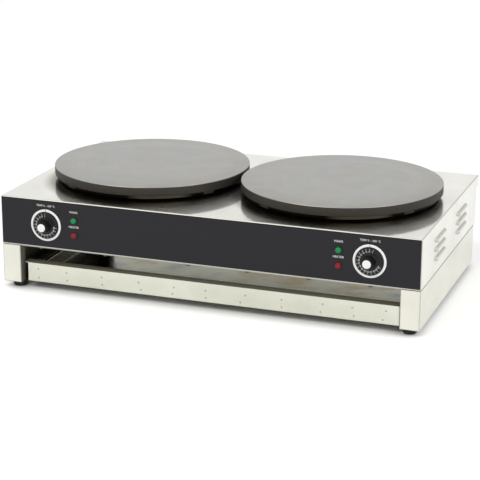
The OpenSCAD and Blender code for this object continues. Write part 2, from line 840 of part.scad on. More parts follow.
module pillars(side)
  color("#b4b4ae") at_plate(side) at_pillars() pillar();

module pillar_nuts()
  color("#b4b4ae") for (side = [-1, 1]) at_plate(side) at_pillars()
    translate([0, 0, under_deck_z - washer_t - nut_h]) difference() {
      union() {
        hexagon(nut_af, nut_h);
        translate([0, 0, nut_h]) cylinder(d = 2 * stud_d, h = washer_t);
      }
      translate([0, 0, -nib]) cylinder(d = stud_d, h = nut_h + washer_t + 2 * nib);
    }

// ---- Temperature control ----

// The thermostat lies behind the panel; z = 0 is the panel's face and +z is outwards
module thermostat_body()
  difference() {
    union() {
      translate([-thermostat_w / 2, -thermostat_h / 2, -sheet_t - thermostat_d])
        cube([thermostat_w, thermostat_h, thermostat_d]);
      translate([0, 0, -sheet_t]) cylinder(d = shaft_hole_d - 1, h = sheet_t);
      for (end = [-1, 1])
        translate([end * thermostat_spade_x - spade_w / 2, -spade_w / 2, -sheet_t - thermostat_d - spade_l])
          cube([spade_w, spade_t, spade_l]);
    }
    translate([0, 0, -shaft_in]) cylinder(r = shaft_d / 2 + shaft_fit, h = shaft_in + nib);
    at_thermostat_screws() translate([0, 0, -sheet_t - 6]) cylinder(d = screw_d, h = 6 + nib);
  }

module thermostat(side)
  color("#d9d6c8") at_dial(side) thermostat_body();

module thermostat_screws()
  color("#b4b4ae") for (side = [-1, 1]) at_dial(side) at_thermostat_screws()
    mirror([0, 0, 1]) pan_screw(screw_d, sheet_t + 5, screw_head_d, screw_head_t);

module shaft(side)
  color("#b4b4ae") at_knob(side) shaft_solid();

module shaft_solid() {
  translate([0, 0, -shaft_in + 0.5]) cylinder(d = shaft_d, h = shaft_in - 0.5 - knob_back_y);
  translate([0, 0, -knob_back_y]) linear_extrude(shaft_out + knob_back_y) shaft_section();
}

module shaft_section()
  difference() {
    circle(d = shaft_d);
    translate([-shaft_d, shaft_d / 2 - shaft_flat]) square([2 * shaft_d, shaft_d]);
  }

// z = 0 is the panel's face and +z is outwards
module knob_solid() {
  back = -knob_back_y;
  face = -knob_face_y;
  grip_end = -grip_end_y;
  difference() {
    rotate_extrude() polygon([
      [0, back], [skirt_r - 0.6, back], [skirt_r, back + 0.6], [skirt_r, face - 1], [skirt_r - 1.5, face],
      [grip_r + 1.5, face], [grip_r, face + 1.5],
      [grip_end_r, grip_end - 1], [grip_end_r - 1, grip_end], [0, grip_end],
    ]);
    translate([0, 0, back - nib]) cylinder(r = skirt_r - 2, h = skirt_t / 2 + nib);
    for (groove = [0:grip_grooves - 1]) rotate(groove * 360 / grip_grooves)
      translate([grip_r + 1, 0, face + 2]) cylinder(r = 1.6, h = grip_end - face);
    linear_extrude(shaft_out) shaft_section();
  }
  difference() {
    translate([0, 0, back]) cylinder(r = grip_end_r - 2, h = skirt_t / 2);
    linear_extrude(shaft_out) shaft_section();
  }
}

module knob(side)
  color("#1a1a1b") at_knob(side) knob_solid();

module knob_cap(side)
  color("#f4f4f2") at_dial(side) translate([0, 0, -grip_end_y]) rotate_extrude() polygon([
    [0, 0], [cap_r, 0], [cap_r, cap_t - 0.6], [cap_r - 0.8, cap_t], [0, cap_t],
  ]);

module dial_ring(side)
  color("#f4f4f2") at_dial(side) translate([0, 0, overlay_t]) rotate_extrude($fn = 96) polygon([
    [ring_ri, 0], [ring_ro, 0], [ring_ro, ring_t - 0.8], [ring_ro - 0.8, ring_t],
    [ring_ri + 0.4, ring_t], [ring_ri, ring_t - 0.4],
  ]);

// Bulb under the plate, capillary down through the stack and forward to the thermostat
module sensor(side)
  color("#b87348") {
    at_plate(side) translate([bulb_x, bulb_l / 2, bulb_z])
      rotate([90, 0, 0]) cylinder(d = bulb_d, h = bulb_l);
    drop = [side * (plate_x - bulb_x), plate_y - side * bulb_elbow_y];
    bulb_end = [drop.x, plate_y + side * bulb_l / 2, bulb_z];
    body_y = sheet_t + thermostat_d / 2;
    from_front() tube_along(rounded([
      bulb_end,
      [drop.x, drop.y, bulb_z],
      [drop.x, drop.y, capillary_z],
      [side * dial_x, body_y, capillary_z],
      [side * dial_x, body_y, dial_h + thermostat_h / 2],
    ]), capillary_d);
  }

// ---- Lamps ----

module lamp_lens(side, row, tint)
  color(tint) at_lamp(side, row) translate([0, 0, overlay_t]) rotate_extrude() intersection() {
    translate([0, lamp_out - lamp_dome_r]) circle(lamp_dome_r, $fn = 64);
    square([lamp_d / 2, lamp_out]);
  }

module lamp_bodies()
  color("#2a2a2a") for (side = [-1, 1], row = [-1, 1]) at_lamp(side, row) {
    translate([0, 0, -lamp_body_l]) cylinder(d = lamp_body_d, h = lamp_body_l + overlay_t);
    for (end = [-1, 1]) translate([end * lamp_spade_x - spade_t / 2, -spade_w / 2, -lamp_body_l - spade_l])
      cube([spade_t, spade_w, spade_l]);
  }

// ---- Supply ----

module cable_gland(side)
  color("#202020") at_gland(side) difference() {
    union() {
      translate([0, 0, -gland_thread_l]) cylinder(d = gland_d, h = gland_thread_l);
      hexagon(gland_hex, gland_hex_t);
      rotate_extrude() polygon([
        [0, gland_hex_t], [gland_hex / 2 - 1, gland_hex_t],
        [gland_hex / 2 - 1, gland_hex_t + gland_cap_l - 4],
        [gland_hex / 2 - 5, gland_hex_t + gland_cap_l], [0, gland_hex_t + gland_cap_l],
      ]);
    }
    translate([0, 0, -gland_thread_l - nib])
      cylinder(d = gland_bore_d, h = gland_thread_l + gland_hex_t + gland_cap_l + 2 * nib);
  }

module gland_nuts()
  color("#202020") for (side = [-1, 1]) at_gland(side)
    translate([0, 0, -sheet_t - gland_nut_t]) difference() {
      hexagon(gland_hex, gland_nut_t);
      translate([0, 0, -nib]) cylinder(d = gland_d, h = gland_nut_t + 2 * nib);
    }

module terminal_block(side)
  color("#e4e0d2") from_front() translate([side * gland_x - block_w / 2, block_y, seam_z]) difference() {
    cube([block_w, block_d, block_h]);
    for (pole = [0:2]) translate([block_w * (pole + 0.5) / 3, -nib, block_h - pole_drop]) {
      rotate([-90, 0, 0]) cylinder(d = pole_d, h = block_d + 2 * nib);
      translate([0, block_d / 2 + nib, 0]) cylinder(d = pole_screw_d, h = pole_drop + nib);
    }
  }

module wiring(side)
  color("#c9b458") from_front() tube_along(rounded([
    [side * gland_x, block_y, seam_z + block_h / 2],
    [side * gland_x, block_y - loom_run, seam_z + block_h / 2],
    [side * gland_x, sheet_t + thermostat_d + loom_run, dial_h],
    [side * dial_x, sheet_t + thermostat_d, dial_h],
  ]), loom_d);

// ---- The parts ----

top_casing();
front_overlay();
rear_cover();
bottom_cover();
mirror([1, 0, 0]) base_side();  // base_side_left
base_side();  // base_side_right
base_crossbar();
at_foot(-1, 0) foot();  // foot_front_left
at_foot(1, 0) foot();  // foot_front_right
at_foot(-1, 1) foot();  // foot_rear_left
at_foot(1, 1) foot();  // foot_rear_right
foot_screws();
foot_nuts();
cover_screws();
rear_screws();
mirror([1, 0, 0]) drawer_rail();  // drawer_rail_left
drawer_rail();  // drawer_rail_right
drawer_tray();
drawer_front();
at_plate(-1) griddle_plate();  // plate_left
at_plate(1) griddle_plate();  // plate_right
element(-1);  // element_left
element(1);  // element_right
clamp_plate(-1);  // clamp_plate_left
clamp_plate(1);  // clamp_plate_right
insulation(-1);  // insulation_left
insulation(1);  // insulation_right
heat_pan(-1);  // heat_pan_left
heat_pan(1);  // heat_pan_right
pillars(-1);  // pillars_left
pillars(1);  // pillars_right
pillar_nuts();
thermostat(-1);  // thermostat_left
thermostat(1);  // thermostat_right
thermostat_screws();
sensor(-1);  // sensor_left
sensor(1);  // sensor_right
wiring(-1);  // wiring_left
wiring(1);  // wiring_right
terminal_block(-1);  // terminal_block_left
terminal_block(1);  // terminal_block_right
cable_gland(-1);  // cable_gland_left
cable_gland(1);  // cable_gland_right
gland_nuts();
lamp_lens(-1, 1, "#1f8f55");  // power_lamp_left
lamp_lens(1, 1, "#1f8f55");  // power_lamp_right
lamp_lens(-1, -1, "#b5222c");  // heat_lamp_left
lamp_lens(1, -1, "#b5222c");  // heat_lamp_right
lamp_bodies();
dial_ring(-1);  // dial_ring_left
dial_ring(1);  // dial_ring_right
knob(-1);  // knob_left
knob(1);  // knob_right
knob_cap(-1);  // knob_cap_left
knob_cap(1);  // knob_cap_right
shaft(-1);  // shaft_left
shaft(1);  // shaft_right
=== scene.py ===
import json
import math
import random

import bmesh
import bpy
from mathutils import Matrix, Vector


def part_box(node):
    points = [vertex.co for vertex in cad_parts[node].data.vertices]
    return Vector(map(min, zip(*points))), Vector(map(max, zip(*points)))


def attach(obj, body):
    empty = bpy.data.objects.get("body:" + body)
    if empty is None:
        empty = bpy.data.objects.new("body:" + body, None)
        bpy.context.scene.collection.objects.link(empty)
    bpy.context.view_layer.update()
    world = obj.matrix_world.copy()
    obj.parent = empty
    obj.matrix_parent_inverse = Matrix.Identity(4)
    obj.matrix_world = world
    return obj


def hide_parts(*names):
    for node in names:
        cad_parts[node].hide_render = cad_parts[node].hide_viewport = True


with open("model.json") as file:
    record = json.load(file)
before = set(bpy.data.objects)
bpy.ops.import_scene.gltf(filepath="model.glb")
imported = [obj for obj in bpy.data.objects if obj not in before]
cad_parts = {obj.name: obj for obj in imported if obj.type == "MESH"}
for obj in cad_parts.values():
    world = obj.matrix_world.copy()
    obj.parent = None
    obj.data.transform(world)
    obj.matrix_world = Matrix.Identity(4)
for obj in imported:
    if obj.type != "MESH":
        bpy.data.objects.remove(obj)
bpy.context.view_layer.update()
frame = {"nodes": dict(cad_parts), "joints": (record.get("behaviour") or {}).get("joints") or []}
random.seed(11)
mm = 0.001  # the settings give lengths in millimetres


def linear(hexCode):
    channels = [int(hexCode[i:i + 2], 16) / 255 for i in (1, 3, 5)]
    return tuple(c / 12.92 if c <= 0.04045 else ((c + 0.055) / 1.055) ** 2.4 for c in channels) + (1.0,)


# an input is a value, a hex colour, a node, or a node and the name of its output
def addNode(tree, kind, inputs=(), **settings):
    node = tree.nodes.new("ShaderNode" + kind)
    for key, value in settings.items():
        setattr(node, key, value)
    for key, value in dict(inputs).items():
        if isinstance(value, bpy.types.Node):
            value = next(s for s in value.outputs if s.enabled)
        elif isinstance(value, tuple) and isinstance(value[0], bpy.types.Node):
            value = value[0].outputs[value[1]]
        if isinstance(value, bpy.types.NodeSocket):
            tree.links.new(value, node.inputs[key])
        else:
            node.inputs[key].default_value = linear(value) if isinstance(value, str) else value
    return node


def newMaterial(name, **values):
    material = bpy.data.materials.new(name)
    material.use_nodes = True
    tree = material.node_tree
    shader = tree.nodes["Principled BSDF"]
    for key, value in values.items():
        shader.inputs[key.replace("_", " ")].default_value = value
    return material, tree, shader


def linkShader(tree, shader, colour, rough=None, normal=None, metal=None):
    for name, node in (("Base Color", colour), ("Roughness", rough), ("Normal", normal), ("Metallic", metal)):
        if node is not None:
            tree.links.new(next(s for s in node.outputs if s.enabled), shader.inputs[name])


# where a point lies, as x, y and z
def placeParts(tree):
    return addNode(tree, "SeparateXYZ", {0: (addNode(tree, "TexCoord"), "Object")})


# which way its face looks, as x, y and z
def facingParts(tree):
    return addNode(tree, "SeparateXYZ", {0: (addNode(tree, "NewGeometry"), "Normal")})


# uneven pattern on Object coordinates; size is how long its marks are in millimetres, all ways alike
# or in x, y and z
def marks(tree, size, detail=3.0, roughness=0.55):
    place = addNode(tree, "TexCoord")
    sizes = size if isinstance(size, tuple) else (size, size, size)
    scaled = addNode(tree, "Mapping", {"Vector": (place, "Object"), "Scale": [1 / (s * mm) for s in sizes]})
    return addNode(tree, "TexNoise", {"Vector": scaled, "Scale": 1.0, "Detail": detail,
                                      "Roughness": roughness})


print("materials")

# where a point lies from the middle of the nearer plate, or from a place shift millimetres off it
def fromPlate(tree, shift=(0, 0)):
    low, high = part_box("plate_right")
    moved = addNode(tree, "VectorMath", {0: (addNode(tree, "TexCoord"), "Object"),
                                         1: [s * mm for s in shift] + [0]}, operation="SUBTRACT")
    place = addNode(tree, "SeparateXYZ", {0: moved})
    side = addNode(tree, "Math", {0: (place, "X")}, operation="SIGN")
    middle = (low + high) / 2
    offX = addNode(tree, "Math", {0: side, 1: -middle.x, 2: (place, "X")}, operation="MULTIPLY_ADD")
    offY = addNode(tree, "Math", {0: (place, "Y"), 1: middle.y}, operation="SUBTRACT")
    return addNode(tree, "CombineXYZ", {0: offX, 1: offY})


# a zone of a sheet is a function that gives a mask and a tone; level is the least upward part of the
# normal on a face that lies flat
deckShadeLook = {"tone": "#6f6552", "shift": (-2, -32), "full": 178, "ends": 214, "level": 0.9}


# the deck in front of each plate is painted brown, strongest close to the plate: painted shade and painted
# reflection of the plate's dark underside
def brownedDeck(tree, look):
    spoke = addNode(tree, "VectorMath", {0: fromPlate(tree, look["shift"])}, operation="LENGTH")
    # how near the plate a point lies sets the painted shade
    heat = addNode(tree, "MapRange", {0: (spoke, "Value"), 1: look["ends"] * mm, 2: look["full"] * mm},
                   interpolation_type="SMOOTHSTEP")
    lying = addNode(tree, "Math", {0: (facingParts(tree), "Z"), 1: look["level"]}, operation="GREATER_THAN")
    return addNode(tree, "Math", {0: heat, 1: lying}, operation="MULTIPLY"), look["tone"]


insideLook = {"tone": "#7b786b", "deepShade": "#46433c", "shadeFrom": 95, "shadeFull": 190, "skin": 0.8,
              "rough": 0.5, "metal": 0.5}


# the base frame's sides are brushed outside alone: inside they are dull and painted darker, a painted shade
# that deepens further in
def dullInside(tree, look):
    place = placeParts(tree)
    low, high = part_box("base_side_right")
    depth = high.y - low.y
    sideways = addNode(tree, "Math", {0: (place, "X")}, operation="ABSOLUTE")
    within = addNode(tree, "Math", {0: sideways, 1: high.x - look["skin"] * mm}, operation="LESS_THAN")
    between = addNode(tree, "Math", {0: (place, "Y"), 1: low.y + depth / 2,
                                     2: depth / 2 - look["skin"] * mm}, operation="COMPARE")
    deep = addNode(tree, "MapRange", {0: (place, "Y"), 1: low.y + look["shadeFrom"] * mm,
                                      2: low.y + look["shadeFull"] * mm})
    shadedTone = addNode(tree, "Mix", {0: deep, 6: look["tone"], 7: look["deepShade"]}, data_type="RGBA")
    return addNode(tree, "Math", {0: within, 1: between}, operation="MULTIPLY"), shadedTone


blueLook = {"tone": "#88939f", "cloud": (95, 60, 60), "starts": 0.44, "full": 0.3, "most": 0.85}
strawLook = {**blueLook, "tone": "#a08d6c", "starts": 0.54, "full": 0.68}


# heat from the plates has tinted the tray in clouds
def heatTint(tree, look):
    cloud = marks(tree, look["cloud"], 3.0, 0.5)
    tint = addNode(tree, "MapRange", {0: cloud, 1: look["starts"], 2: look["full"], 4: look["most"]})
    return tint, look["tone"]


wallLook = {"tone": "#4a453d", "rough": 0.35, "wide": 16, "from": 1.6, "to": 13}


# the tray's side walls are painted dark up to their rims: painted shade inside the drawer
def burntWalls(tree, look):
    place = placeParts(tree)
    low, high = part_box("drawer_tray")
    sideways = addNode(tree, "Math", {0: (place, "X")}, operation="ABSOLUTE")
    beside = addNode(tree, "Math", {0: sideways, 1: high.x - look["wide"] * mm}, operation="GREATER_THAN")
    level = addNode(tree, "Math", {0: (place, "Z"), 1: low.z + (look["from"] + look["to"]) / 2 * mm,
                                   2: (look["to"] - look["from"]) / 2 * mm}, operation="COMPARE")
    return addNode(tree, "Math", {0: beside, 1: level}, operation="MULTIPLY"), look["tone"]


shelfLook = {"tone": "#7d7a68", "rough": 0.5, "metal": 0.3, "level": 0.9}


# the shelf of the drawer front is dull from wiping, and painted a darker olive on top: painted shade from the
# casing above it
def dullShelf(tree, look):
    lying = addNode(tree, "Math", {0: (facingParts(tree), "Z"), 1: look["level"]}, operation="GREATER_THAN")
    return lying, look["tone"]


# the grit is coarser than real, so that it shows; mixed and smudged are limits of the noise, steep,
# folded, upward and forward of the normal, and closed of the occlusion
steelLook = {"light": "#eae9e3", "shade": "#dfded7", "smoothest": 0.05, "roughest": 0.38,
             "mixed": (0.56, 0.66), "grit": 0.14, "lineLength": 55, "lineWidth": 0.22, "lineDepth": 0.0018,
             "smudge": 90, "smudged": (0.35, 0.7), "smudgeRough": 0.05, "steep": 0.7,
             "folded": (0.998, 0.97), "upward": (0.3, 0.65), "forward": (-0.15, -0.5), "foldShade": "#c0beb5",
             "rubbedRough": 0.45, "cornerShade": "#96948b", "cornerShadeReach": 8, "closed": (0.92, 0.35)}
deckLook = {**steelLook, "mixed": (0.49, 0.59), "roughest": 0.33}
sideLook = {**steelLook, "light": "#e2e1d6", "shade": "#d8d7cb"}
# the drawer front is a little darker and yellower than the other sheets
barSteelLook = {**steelLook, "light": "#d9d9cc", "shade": "#cecec0"}


# 304 stainless steel sheet, brushed with 320 grit: fine lines, and smooth steel between broken grains
def brushedStainless(name, look, zones=()):
    material, tree, shader = newMaterial(name, Metallic=1.0)
    length, width = look["lineLength"], look["lineWidth"]
    acrossFront = marks(tree, (length, width, width), 2.0)
    alongSides = marks(tree, (width, length, width), 2.0)
    facing = facingParts(tree)
    leans = [addNode(tree, "Math", {0: (facing, axis)}, operation="ABSOLUTE") for axis in "XYZ"]
    sideFace = addNode(tree, "Math", {0: leans[0], 1: look["steep"]}, operation="GREATER_THAN")
    lines = addNode(tree, "Mix", {0: sideFace, 2: acrossFront, 3: alongSides})
    faint, strong = look["smudged"]
    smudges = addNode(tree, "MapRange", {0: marks(tree, look["smudge"], 4.0), 1: faint, 2: strong})
    tone = addNode(tree, "Mix", {0: smudges, 6: look["light"], 7: look["shade"]}, data_type="RGBA")
    brushed = addNode(tree, "MapRange", {0: marks(tree, look["grit"], 0.0), 1: look["mixed"][0],
                                         2: look["mixed"][1], 3: look["smoothest"], 4: look["roughest"]})
    rough = addNode(tree, "Math", {0: smudges, 1: look["smudgeRough"], 2: brushed}, operation="MULTIPLY_ADD")
    # every sheet lies square, so what slants is a fold or a louvre: its top and front are painted darker, a
    # painted shade that also dims their highlight, and made rougher
    larger = addNode(tree, "Math", {0: leans[0], 1: leans[1]}, operation="MAXIMUM")
    squarest = addNode(tree, "Math", {0: larger, 1: leans[2]}, operation="MAXIMUM")
    folded, upward, forward = [
        addNode(tree, "MapRange", {0: value, 1: look[limits][0], 2: look[limits][1]}) for value, limits in
        ((squarest, "folded"), ((facing, "Z"), "upward"), ((facing, "Y"), "forward"))]
    exposed = addNode(tree, "Math", {0: upward, 1: forward}, operation="MAXIMUM")
    dulledAndShaded = addNode(tree, "Math", {0: exposed, 1: folded}, operation="MULTIPLY")
    tone = addNode(tree, "Mix", {0: dulledAndShaded, 6: tone, 7: look["foldShade"]}, data_type="RGBA")
    rough = addNode(tree, "Mix", {0: dulledAndShaded, 2: rough, 3: look["rubbedRough"]})
    # corners and creases are painted darker from the occlusion: painted shade
    corner = addNode(tree, "AmbientOcclusion", {"Distance": look["cornerShadeReach"] * mm}, samples=8)
    inShadedCorner = addNode(tree, "MapRange", {0: (corner, "AO"), 1: look["closed"][0], 2: look["closed"][1]})
    tone = addNode(tree, "Mix", {0: inShadedCorner, 6: tone, 7: look["cornerShade"]}, data_type="RGBA")
    metal = None
    for zone, zoneLook in zones:
        mask, zoneTone = zone(tree, zoneLook)
        tone = addNode(tree, "Mix", {0: mask, 6: tone, 7: zoneTone}, data_type="RGBA")
        if "rough" in zoneLook:
            rough = addNode(tree, "Mix", {0: mask, 2: rough, 3: zoneLook["rough"]})
        if "metal" in zoneLook:
            metal = addNode(tree, "MapRange", {0: mask, 3: 1.0, 4: zoneLook["metal"]})
    relief = addNode(tree, "Bump", {"Height": lines, "Distance": look["lineDepth"] * mm, "Strength": 0.6})
    linkShader(tree, shader, tone, rough, relief, metal)
    return material


# the same sheet as it left the rolling mill: duller, with wide faint lines
millLook = {**steelLook, "light": "#bdbdb4", "shade": "#b4b4aa", "smoothest": 0.08, "roughest": 0.14,
            "mixed": (0.3, 0.7), "lineLength": 260, "lineWidth": 0.6, "lineDepth": 0.0012, "smudge": 140,
            "foldShade": "#9b998f", "cornerShade": "#6e6c64", "cornerShadeReach": 4}

spangleLook = {"light": "#5f605c", "dark": "#4f504d", "spangle": 11, "relief": 0.004, "dust": 14,
               "rough": (0.26, 0.36)}


# hot-dip galvanised sheet: flat zinc crystals of slightly different greys
def galvanisedSheet(name, look):
    material, tree, shader = newMaterial(name, Metallic=1.0)
    place = addNode(tree, "TexCoord")
    crystals = addNode(tree, "TexVoronoi", {"Vector": (place, "Object"), "Scale": 1 / (look["spangle"] * mm)})
    tone = addNode(tree, "SeparateColor", {0: (crystals, "Color")})
    smooth, rough = look["rough"]
    dust = addNode(tree, "MapRange", {0: marks(tree, look["dust"], 5.0), 1: 0.3, 2: 0.7,
                                      3: smooth, 4: rough})
    linkShader(tree, shader,
               addNode(tree, "Mix", {0: tone, 6: look["light"], 7: look["dark"]}, data_type="RGBA"),
               addNode(tree, "Math", {0: tone, 1: 0.1, 2: dust}, operation="MULTIPLY_ADD"),
               addNode(tree, "Bump", {"Height": (crystals, "Distance"), "Distance": look["relief"] * mm,
                                      "Strength": 0.4}))
    return material


filmLook = {"ink": "#100f16", "paler": "#13121a", "wipe": (110, 60, 45), "rough": (0.36, 0.46),
            "grain": 0.35, "depth": 0.012}


# polycarbonate film printed black on its back: its velvet embossing spreads the light softly
def velvetFilm(name, look):
    material, tree, shader = newMaterial(name, Specular_IOR_Level=0.32)
    wipe = marks(tree, look["wipe"], 4.0)
    paler = addNode(tree, "MapRange", {0: wipe, 1: 0.35, 2: 0.7})
    smooth, rough = look["rough"]
    linkShader(tree, shader,
               addNode(tree, "Mix", {0: paler, 6: look["ink"], 7: look["paler"]}, data_type="RGBA"),
               addNode(tree, "MapRange", {0: wipe, 1: 0.3, 2: 0.7, 3: smooth, 4: rough}),
               addNode(tree, "Bump", {"Height": marks(tree, look["grain"], 2.0),
                                      "Distance": look["depth"] * mm, "Strength": 0.35}))
    return material


# edge is how far below the top the turned face ends, and worn where the plate is used least
ironLook = {"ground": ("#a2a3a2", "#a6a39c"), "patch": 110, "oiled": "#96948d", "stain": 45,
            "worn": (150, 200), "cast": "#27231d", "blackish": "#2f2a23", "edge": (1.3, 0.9), "toolPitch": 0.45,
            "wander": 30, "toolDepth": 0.006, "sand": 0.8, "sandDepth": 0.12, "pit": 6, "pitDepth": 0.25}


# grey cast iron: the top is turned and oiled, so it has fine rings and a dull shine; the rim
# and the lugs keep the grain of the sand mould under burnt oil
def griddleIron(name, look):
    material, tree, shader = newMaterial(name)
    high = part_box("plate_right")[1]
    place = placeParts(tree)
    radius = (addNode(tree, "VectorMath", {0: fromPlate(tree)}, operation="LENGTH"), "Value")
    ring = addNode(tree, "Math", {0: radius, 1: 1 / (look["toolPitch"] * mm)}, operation="MULTIPLY")
    ringPlace = addNode(tree, "CombineXYZ", {0: ring, 1: marks(tree, look["wander"], 2.0)})
    rings = addNode(tree, "TexNoise", {"Vector": ringPlace, "Scale": 1.0, "Detail": 2.0})
    turned = addNode(tree, "MapRange", {0: (place, "Z"), 1: high.z - look["edge"][0] * mm,
                                        2: high.z - look["edge"][1] * mm})
    stain = marks(tree, look["stain"], 5.0, 0.62)
    stains = addNode(tree, "MapRange", {0: stain, 1: 0.35, 2: 0.68, 4: 0.5})
    worn = addNode(tree, "MapRange", {0: radius, 1: look["worn"][0] * mm, 2: look["worn"][1] * mm, 4: 0.35})
    sand = marks(tree, look["sand"], 4.0, 0.7)
    pits = marks(tree, look["pit"], 4.0, 0.6)
    patches = addNode(tree, "MapRange", {0: marks(tree, look["patch"], 3.0), 1: 0.38, 2: 0.62})
    ground = addNode(tree, "Mix", {0: patches, 6: look["ground"][0], 7: look["ground"][1]}, data_type="RGBA")
    oily = addNode(tree, "Math", {0: stains, 1: worn})
    top = addNode(tree, "Mix", {0: oily, 6: ground, 7: look["oiled"]}, data_type="RGBA")
    crust = addNode(tree, "MapRange", {0: pits, 1: 0.3, 2: 0.7})
    skin = addNode(tree, "Mix", {0: crust, 6: look["cast"], 7: look["blackish"]}, data_type="RGBA")
    topRough = addNode(tree, "MapRange", {0: rings, 1: 0.3, 2: 0.7, 3: 0.3, 4: 0.42})
    skinRough = addNode(tree, "MapRange", {0: sand, 1: 0.3, 2: 0.7, 3: 0.5, 4: 0.64})
    pitted = addNode(tree, "Bump", {"Height": pits, "Distance": look["pitDepth"] * mm, "Strength": 0.5})
    grained = addNode(tree, "Bump", {"Height": sand, "Distance": look["sandDepth"] * mm, "Strength": 0.7,
                                     "Normal": pitted})
    ringed = addNode(tree, "Bump", {"Height": rings, "Distance": look["toolDepth"] * mm, "Strength": 0.8})
    linkShader(tree, shader,
               addNode(tree, "Mix", {0: turned, 6: skin, 7: top}, data_type="RGBA"),
               addNode(tree, "Mix", {0: turned, 2: skinRough, 3: topRough}),
               addNode(tree, "Mix", {0: turned, 4: grained, 5: ringed}, data_type="VECTOR"),
               addNode(tree, "MapRange", {0: turned, 3: 0.15, 4: 0.9}))
    return material


# the simpler finishes share one recipe: two tones in clouds, and a skin of fine marks
simpleLooks = {
    # nitrile rubber from a spark-eroded mould: dull, with a grey bloom
    "mouldedRubber": {"tones": ("#191919", "#262524"), "cloud": (12, 12, 8), "rough": (0.55, 0.72),
                      "skin": 0.6, "depth": 0.02, "shader": {"Specular_IOR_Level": 0.35}},
    # steel, zinc plated and passivated: soft bright grey
    "zincPlatedSteel": {"tones": ("#b8b9b3", "#a7a89f"), "cloud": 5, "rough": (0.24, 0.36),
                        "skin": 0.3, "depth": 0.004, "shader": {"Metallic": 1.0}},
    # the same zinc gone dull over the drawer's heat and fat
    "dulledZincSteel": {"tones": ("#6f6c64", "#57544d"), "cloud": 5, "rough": (0.42, 0.55),
                        "skin": 0.3, "depth": 0.006, "shader": {"Metallic": 1.0}},
    # nickel alloy sheath, coloured by heat
    "heatedNickelAlloy": {"tones": ("#55575c", "#5e5346"), "cloud": 60, "rough": (0.38, 0.52),
                          "skin": 0.7, "depth": 0.01, "shader": {"Metallic": 1.0}},
    # pressed ceramic wool: white strands without any shine
    "ceramicWool": {"tones": ("#e4e1d7", "#f1efe8"), "cloud": (9, 9, 4), "rough": (0.9, 0.98),
                    "skin": (6, 0.25, 6), "depth": 0.15, "shader": {"Specular_IOR_Level": 0.1}},
    # stainless steel that a spot welder's electrode has pressed and tinted
    "tintedSteel": {"tones": ("#b3b0a4", "#a5a194"), "cloud": 1.5, "rough": (0.3, 0.42),
                    "skin": 0.3, "depth": 0.01, "shader": {"Metallic": 1.0}},
    # copper tube as drawn, with a little tarnish
    "drawnCopper": {"tones": ("#b87348", "#8a5a3c"), "cloud": 8, "rough": (0.22, 0.36),
                    "skin": (0.2, 12, 0.2), "depth": 0.003, "shader": {"Metallic": 1.0}},
    # phenolic resin, moulded in a pale colour
    "paleBakelite": {"tones": ("#d9d6c8", "#cdc9b8"), "cloud": 9, "rough": (0.42, 0.5),
                     "skin": 0.25, "depth": 0.004, "shader": {"Specular_IOR_Level": 0.5}},
    # steatite, pressed and fired
    "pressedSteatite": {"tones": ("#e4e0d2", "#d8d3c2"), "cloud": 9, "rough": (0.32, 0.4),
                        "skin": 0.25, "depth": 0.004, "shader": {"Specular_IOR_Level": 0.5}},
    # polyamide, moulded: black with a fine matt skin
    "mouldedPolyamide": {"tones": ("#1c1c1d", "#262627"), "cloud": 9, "rough": (0.4, 0.48),
                         "skin": 0.25, "depth": 0.006, "shader": {"Specular_IOR_Level": 0.4}},
    # ABS from a polished mould: clean white with a soft gloss
    "whiteAbs": {"tones": ("#fbfbf9", "#f7f7f4"), "cloud": 9, "rough": (0.22, 0.28),
                 "skin": 0.4, "depth": 0.002, "shader": {"Specular_IOR_Level": 0.5}},
    # black phenolic resin, moulded: glossy where fingers polish it
    "blackBakelite": {"tones": ("#0c0c0d", "#121213"), "cloud": 9, "rough": (0.3, 0.4),
                      "skin": 0.4, "depth": 0.004, "shader": {"Specular_IOR_Level": 0.3}},
    # screen-printed inks: matt, and a little thin in places
    "whiteInk": {"tones": ("#ecece6", "#d9d9d2"), "cloud": 1.4, "rough": (0.45, 0.6),
                 "skin": 0.2, "depth": 0.002, "shader": {"Specular_IOR_Level": 0.3}},
    "blackInk": {"tones": ("#08090b", "#0c0e11"), "cloud": 1.4, "rough": (0.24, 0.32),
                 "skin": 0.2, "depth": 0.002, "shader": {"Specular_IOR_Level": 0.3}},
}


def simpleFinish(name, look):
    material, tree, shader = newMaterial(name, **look["shader"])
    cloud = marks(tree, look["cloud"], 4.0)
    shade = addNode(tree, "MapRange", {0: cloud, 1: 0.35, 2: 0.68})
    smooth, rough = look["rough"]
    firstTone, secondTone = look["tones"]
    linkShader(tree, shader,
               addNode(tree, "Mix", {0: shade, 6: firstTone, 7: secondTone}, data_type="RGBA"),
               addNode(tree, "MapRange", {0: cloud, 1: 0.3, 2: 0.7, 3: smooth, 4: rough}),
               addNode(tree, "Bump", {"Height": marks(tree, look["skin"], 3.0),
                                      "Distance": look["depth"] * mm, "Strength": 0.5}))
    return material


# the painted lit patch is an arc of the wall: its middle and its outer and inner half widths, in degrees
panLook = {"blackish": ("#151310", "#0f0e0c"), "paler": "#5a564a", "litTurn": -63, "litSpan": (20, 11),
           "wall": (-0.6, -0.2), "cloud": 35, "draw": (1.2, 1.2, 25), "drawDepth": 0.01}
